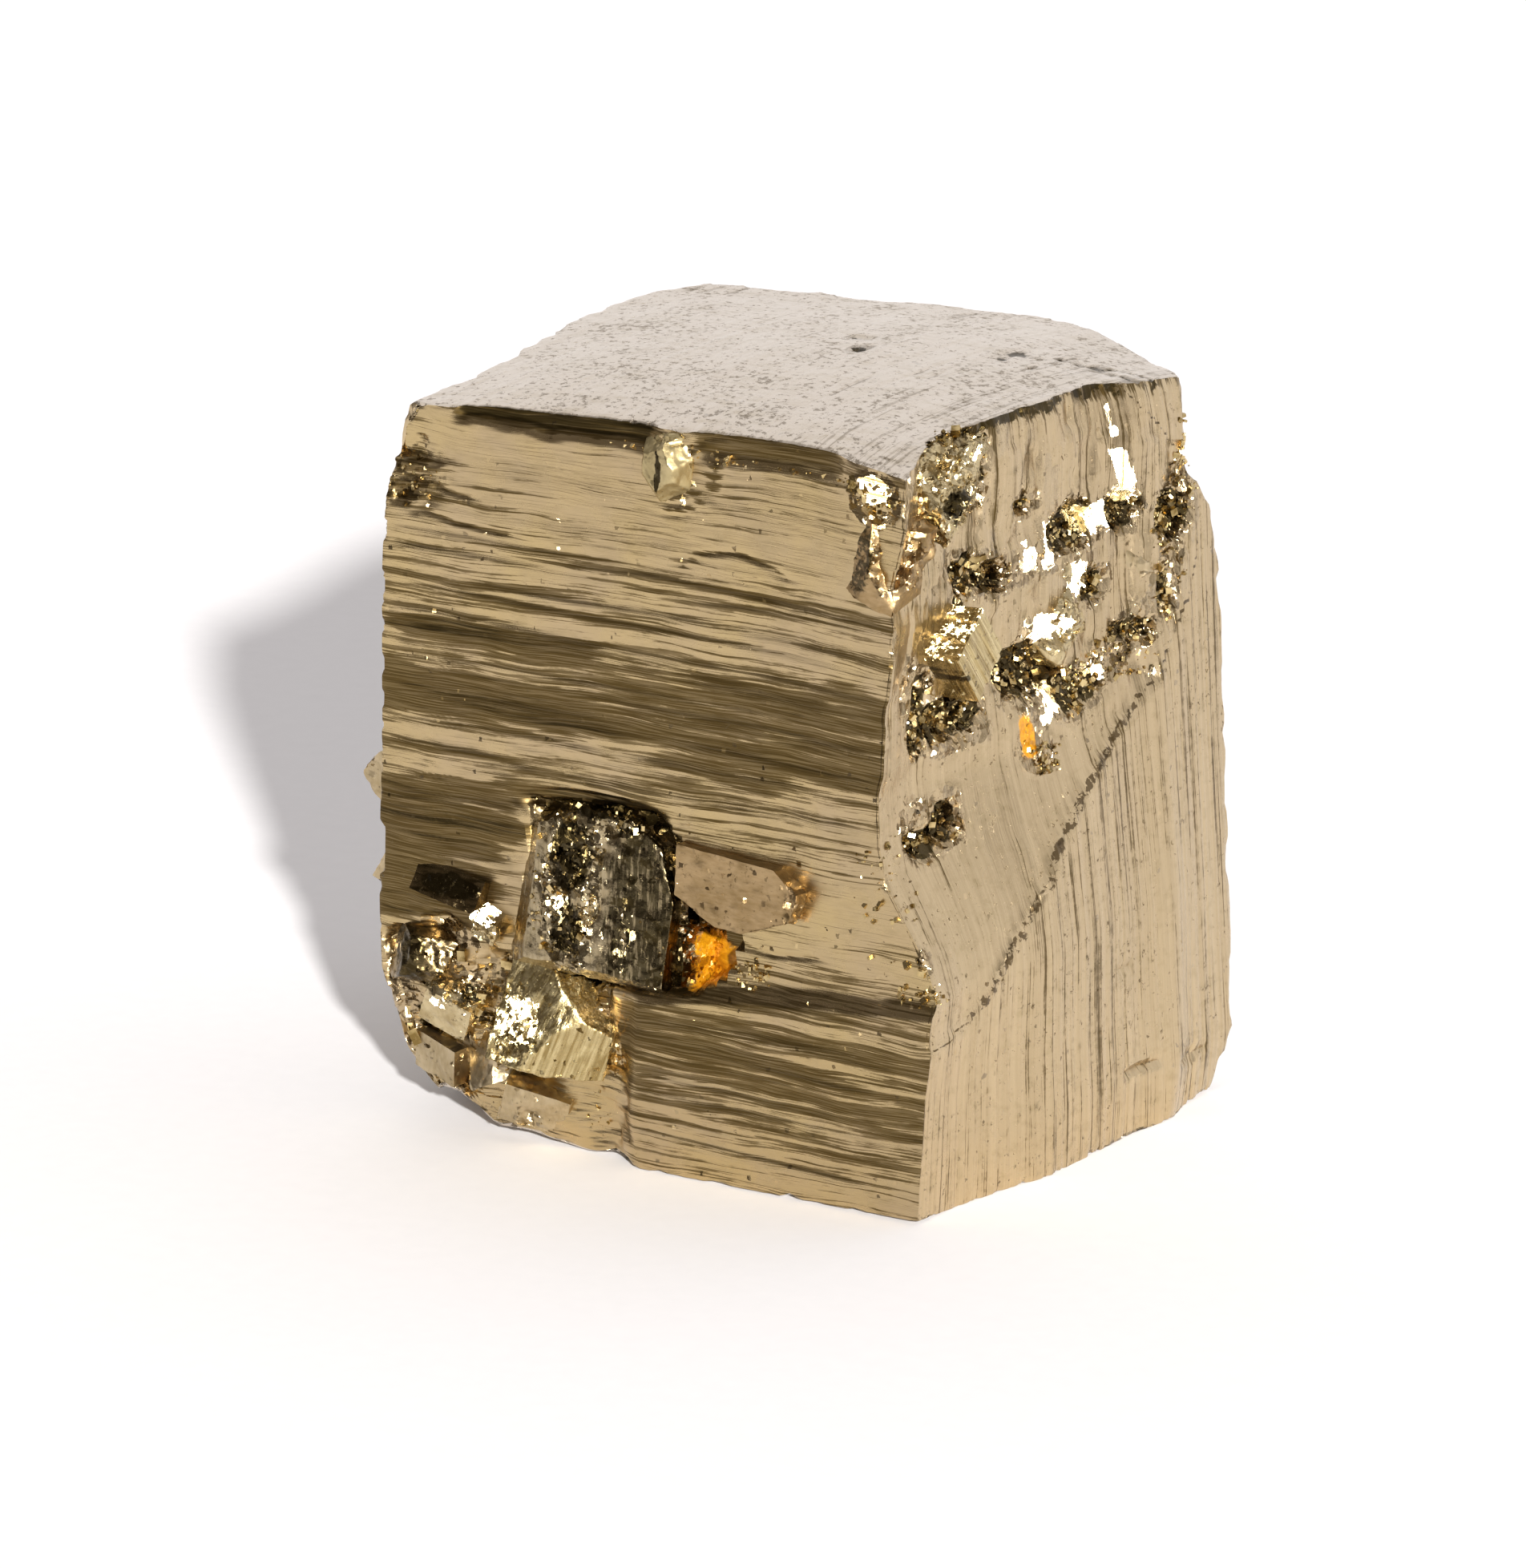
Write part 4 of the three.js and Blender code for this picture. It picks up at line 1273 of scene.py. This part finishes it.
def make_lower_left_crystals(finishes):
    """The crowd of small crystals in the broken lower left part of the front face."""
    planes = (((0.5, -0.8, 0.3), 1.35), ((-0.6, -0.75, 0.2), 1.3), ((0.2, -0.5, -0.85), 1.3))
    marks = marked(broken=((-12.6, 8.0, 1.6, 1.6, 0.8),), dark=((-14.4, 9.6, 2.6, 3.0, 0.45),))
    make_crystal("rough_lump_crystal", (3.6, 3, 3), (10, 15, 0), finishes["black"], planes, cell=0.12,
                 rough=0.12, marks=marks)
    marks = marked(broken=((-11, 8.2, 4, 1.8, 0.8),), gleaming=((-12.4, 7.4, 1.4, 0.8, 0.55),),
                   dark=((-10.4, 8.2, 2.0, 1.6, 0.5),))
    make_crystal("small_clustered_crystal", (2.8, 2.8, 2.6), (30, 25, 15), finishes["pale"],
                 cell=0.12, rough=0.08, marks=marks)
    make_crystal("square_facet_crystal", (3.1, 3, 2.2), (8, 12, -14), finishes["grey"], cell=0.12)
    planes = (((-0.4, -0.85, 0.35), 1.25), ((0.6, -0.75, 0.2), 1.5))
    make_crystal("grey_facet_crystal", (3.6, 3.4, 2.8), (-10, -18, 12), finishes["grey"], planes,
                 cell=0.13, rough=0.07)
    planes = (((0.3, -0.8, -0.5), 1.4),)
    make_crystal("foot_crystal", (3.6, 3.4, 2.5), (12, 16, 24), finishes["grey"], planes, cell=0.13,
                 rough=0.1, marks=marked(broken=((-7.4, 1.5, 1.6, 1.2, 0.6),)))


def make_left_face_crystals(finishes):
    planes = (((-0.8, -0.3, -0.5), 1.9), ((-0.7, -0.1, 0.7), 1.9))
    make_crystal("left_face_crystal", (4.0, 4.4, 4.4), (12, 10, 6), finishes["grey"], planes,
                 cell=0.18, rough=0.14)
    make_crystal("small_left_face_crystal", (1.9, 2, 1.9), (20, 30, 15), finishes["grey"], cell=0.14,
                 rough=0.08)


def make_knob(finishes):
    """The knob under the front edge: a ring of slanted facets round a flat one, with a dark crack."""
    ring = [(math.cos(a) * 0.9, -0.55, math.sin(a) * 0.6) for a in np.arange(-0.15, 6, 1.05)]
    planes = [*((way, 1.45) for way in ring), ((-0.25, -0.95, 0.05), 1.12)]
    marks = marked(dark=((0.6, 38.1, 0.4, 2.3, 1),), broken=((0.7, 39.7, 2.0, 0.5, 0.9),))
    make_crystal("knob_crystal", (3.0, 2.8, 3.6), (4, 0, 8), finishes["brass"], planes, cell=0.11,
                 rough=0.06, shift=(1.0, 0.25, 0), marks=marks)


def make_front_right_edge_crystals(finishes):
    """The crystal set in the upper edge and the rough lump on the corner above it."""
    planes = (((-0.5, -0.85, 0.15), 1.25), ((0.6, -0.75, 0.2), 1.3))
    marks = marked(broken=((15.2, 35.2, 2.2, 3.4, 0.9),), gleaming=((15.6, 36.2, 0.8, 1.0, 0.5),),
                   dark=((13.2, 35.4, 2.2, 4.2, 0.42),))
    make_crystal("edge_crystal", (3.9, 3.4, 4.1), (8, 18, 8), finishes["dusky"], planes, cell=0.13,
                 rough=0.08, shift=(0, -0.5, 0), marks=marks)
    planes = (((0.8, -0.3, 0.5), 2.1), ((0.9, 0.35, -0.2), 1.9), ((0, 0, 1), 2.2))
    marks = marked_side(broken=((-9, 38, 9, 7, 1),), dark=((-10.2, 37.2, 2.6, 2.0, 0.7),),
                        gleaming=((-7.6, 39.0, 0.7, 2.0, 0.5), (-9.0, 37.8, 1.0, 0.8, 0.5)))
    make_crystal("top_corner_crystal", (4.2, 6.0, 4.4), (8, 0, 12), finishes["pale"], planes,
                 cell=0.13, rough=0.16, marks=marks)


def make_right_face_crystals(finishes):
    """The tilted cube, the bright stepped crystal and the rounded one."""
    # The dark patch at the tilted cube's lower left is painted shadow.
    marks = gleaming_facet((0, -0.64, 0.77), marked_side(dark=((-10.6, 28.0, 1.4, 1.4, 0.7),)))
    make_crystal("tilted_cube_crystal", (3.4, 3.4, 3.4), (40, 0, 3), finishes["striped"], cell=0.13,
                 rough=0.02, steps=((0, 0.76, 0.65), 0.45, 0.12), shift=(0.5, 0, 0), marks=marks)
    planes = (((0.85, -0.5, 0.15), 1.25), ((0.95, 0.3, 0.1), 1.4))
    marks = marked_side(broken=((1.2, 29.2, 5, 4, 0.7),),
                        gleaming=((2.4, 30.4, 1.8, 2.0, 0.6), (0.2, 28.6, 3.0, 1.2, 0.6)))
    make_crystal("bright_stepped_crystal", (3, 5.2, 3.8), (32, 6, 4), finishes["pale"], planes,
                 cell=0.14, rough=0.1, steps=((0, 0.6, 0.8), 0.8, 0.16), marks=marks)
    planes = (((0.8, -0.6, 0), 1.2), ((0.8, 0.5, 0.35), 1.25), ((0.7, 0, -0.7), 1.3),
              ((0.75, -0.1, 0.65), 1.25))
    marks = marked_side(broken=((9.2, 31.4, 3, 3, 0.8),), dark=((9.4, 31, 1.6, 1.4, 0.6),))
    make_crystal("rounded_crystal", (3, 3.8, 3.2), (0, 10, 0), finishes["grey"], planes, cell=0.13,
                 rough=0.1, marks=marks)


# ---------------------------------------------------------------- grains

# Where grains lie: (middle, reach, how many, smallest, biggest).
FRONT_GRAINS = (
    ((-14.8, -15, 35.4), (2.0, 2, 1.4), 40, 0.06, 0.25),
    ((-11, -15, 8.2), (3.2, 2, 2.4), 90, 0.1, 0.7),
    ((-14, -15, 5.6), (2.0, 3, 1.6), 40, 0.1, 0.8),
    ((-3, -15, 2.6), (1.2, 2, 1.8), 24, 0.06, 0.16),
    ((6.6, -15, 11.7), (1.4, 2, 0.9), 70, 0.08, 0.3),
    ((13.8, -15, 38.6), (1.8, 2, 0.9), 50, 0.1, 0.5),
    ((4, -15, 39), (9, 1.5, 0.6), 90, 0.06, 0.25),
    ((17.2, -15, 12.3), (1.8, 2, 0.6), 60, 0.06, 0.3),
)
BLOCK_GRAINS = (
    ((-4.6, -16, 14.8), (2.0, 3, 4.4), 150, 0.07, 0.32),
    ((-3.2, -16, 18.5), (3.2, 3, 0.8), 50, 0.07, 0.3),
    ((0.6, -16, 14.0), (1.4, 3, 4.0), 26, 0.06, 0.22),
)
CRUMBLED_GRAINS = (
    ((16, -9, 38.6), (3.5, 3.4, 2.4), 130, 0.1, 0.5),
    ((16, -1.7, 21.9), (3, 1.3, 0.9), 50, 0.08, 0.34),
    ((16, 5.2, 25.6), (3, 4.4, 1.2), 110, 0.08, 0.35),
    ((16, 9.9, 29.5), (3, 1.6, 2.8), 60, 0.08, 0.35),
    ((16, 12.2, 35), (3, 1.4, 3.0), 70, 0.08, 0.4),
    ((15, -14.4, 18), (3, 1.4, 2.4), 50, 0.06, 0.25),
)
# Pits deeper than this hold grains, this many to each square millimetre of their box.
GRAINY_DEPTH = 0.55
GRAINS_PER_AREA = 9
# How often a grain flashes, and how far the flashing and the other grains are turned.
FLASH_CHANCE = 0.1
FLASH_SWING = 0.12
WILD_SWING = 0.6


def right_grains():
    """Grains of the right face: in every deep pit, and along its crumbled places."""
    rows = []
    for y, z, wide, tall, deep in RIGHT_PITS:
        if deep > GRAINY_DEPTH:
            count = int(GRAINS_PER_AREA * wide * tall) + 4
            rows.append(((16, y, z), (3, wide / 2, tall / 2), count, 0.08, 0.4))
    return [*rows, *CRUMBLED_GRAINS]


def sow_grains(name, piece, node, patches, material, seed):
    """Strews tiny cubes over patches of a piece."""
    places = (read_places(piece.data) - np.array(HOME)) / MM
    normals = read_vectors(piece.data.vertices, "normal")
    rng = np.random.default_rng(seed)
    to_flash = Vector((0, -1, 0)).rotation_difference(FLASH)
    bm = bmesh.new()
    for centre, reach, count, small, big in patches:
        far = np.linalg.norm((places - centre) / reach, axis=1)
        near = np.flatnonzero(far < 1)
        if not len(near):
            continue
        for index in rng.choice(near, count):
            size = small + (big - small) * rng.random() ** 3
            flashes = rng.random() < FLASH_CHANCE
            spread = FLASH_SWING if flashes else WILD_SWING
            swing = Euler(rng.normal(0, spread, 3)).to_quaternion()
            turn = swing @ to_flash if flashes else swing
            jitter = Vector(rng.normal(0, 0.1, 3))
            at = Vector(places[index]) + jitter - Vector(normals[index]) * size * 0.15
            stretch = Matrix.Diagonal((*rng.uniform(0.6, 1.3, 3), 1))
            matrix = Matrix.Translation(at) @ turn.to_matrix().to_4x4() @ stretch
            bmesh.ops.create_cube(bm, size=size, matrix=matrix)
    mesh = to_mesh(bm, name)
    store_corners(mesh, "state", np.zeros((len(mesh.loops), 3)))
    return add_piece(name, mesh, material, node)


# ---------------------------------------------------------------- stage, light and camera

FLOOR_RADIUS = 2.6
FLOOR_WHITES = ((0.84, 0.835, 0.855, 1), (0.88, 0.875, 0.895, 1))
SUN_POWER = 6.0
SUN_WIDTH = 2.5
SUN_COLOUR = (1.0, 0.975, 0.94)
# The room is bright behind the specimen and dark in front of it.
BRIGHT_WAY = Vector((0.0, 0.97, 0.22)).normalized()
ROOM_DARK = (0.12, 0.1, 0.085, 1)
ROOM_BRIGHT = (1.02, 0.99, 0.985, 1)
# The camera's turn and rise in degrees, its distance from its aim and how far the aim lies to the
# left of and below the cube's middle, in mm, and its lens.
CAMERA_TURN = 32.7
CAMERA_RISE = 16.08
CAMERA_DISTANCE = 582.9
AIM_LEFT = 1.93
AIM_DOWN = 2.42
LENS = 250


def make_floor():
    bm = bmesh.new()
    bmesh.ops.create_circle(bm, cap_ends=True, segments=96, radius=FLOOR_RADIUS)
    mesh = to_mesh(bm, "floor")
    material, shader = new_material("white_table")
    grain = shader.noise((1, 1, 1), 0.8, 4.0)
    colour = shader.mix(grain, *FLOOR_WHITES)
    close_material(shader, {"Base Color": colour, "Roughness": 0.8}, (grain, 0.02, 0.3))
    mesh.materials.append(material)
    floor = bpy.data.objects.new("floor", mesh)
    link(floor)


def make_sun():
    sun = bpy.data.lights.new("sun", "SUN")
    sun.energy = SUN_POWER
    sun.angle = math.radians(SUN_WIDTH)
    sun.color = SUN_COLOUR
    lamp = bpy.data.objects.new("sun", sun)
    lamp.rotation_mode = "QUATERNION"
    lamp.rotation_quaternion = TO_SUN.to_track_quat("Z", "Y")
    link(lamp)


def make_room():
    world = bpy.data.worlds.new("room")
    world.use_nodes = True
    bpy.context.scene.world = world
    shader = Shader(world.node_tree)
    way = shader.node("ShaderNodeTexCoord").out("Generated")
    towards = shader.vector("DOT_PRODUCT", way, tuple(BRIGHT_WAY))
    share = shader.ramp(towards * 0.5 + 0.5, (0.3, 0.0), (0.5, 0.22), (0.76, 1.0))
    colour = shader.mix(share, ROOM_DARK, ROOM_BRIGHT)
    background = shader.node("ShaderNodeBackground", {}, {"Color": colour, "Strength": 1.0})
    shader.node("ShaderNodeOutputWorld", {}, {0: background.out(0)})


def make_camera():
    """Looks at the specimen from its front right corner, a little from above."""
    turn = math.radians(CAMERA_TURN)
    rise = math.radians(CAMERA_RISE)
    level = math.cos(rise)
    back = Vector((math.sin(turn) * level, -math.cos(turn) * level, math.sin(rise)))
    right = Vector((math.cos(turn), math.sin(turn), 0))
    up = back.cross(right)
    aim = Vector((0, 0, HEIGHT / 2)) - AIM_LEFT * right - AIM_DOWN * up
    data = bpy.data.cameras.new("camera")
    data.lens = LENS
    data.sensor_width = 36
    data.clip_start = 0.05
    data.clip_end = 10
    camera = bpy.data.objects.new("camera", data)
    camera.location = HOME + (aim + back * CAMERA_DISTANCE) * MM
    camera.rotation_mode = "QUATERNION"
    camera.rotation_quaternion = back.to_track_quat("Z", "Y")
    link(camera)
    bpy.context.scene.camera = camera


make_camera()
make_floor()
make_sun()
make_room()
cube = make_big_cube()
finishes = make_finishes()
block = make_dark_block(finishes)
make_plate(finishes)
make_pale_striated_crystal(finishes)
make_crystals_beside_block(finishes)
make_lower_left_crystals(finishes)
make_left_face_crystals(finishes)
make_knob(finishes)
make_front_right_edge_crystals(finishes)
make_right_face_crystals(finishes)
sow_grains("front_grains", cube, "host_crystal", FRONT_GRAINS, finishes["spark"], 11)
sow_grains("block_grains", block, "dark_block_crystal", BLOCK_GRAINS, finishes["spark"], 13)
sow_grains("right_grains", cube, "host_crystal", right_grains(), finishes["spark"], 12)
bpy.context.scene.view_settings.view_transform = "Standard"
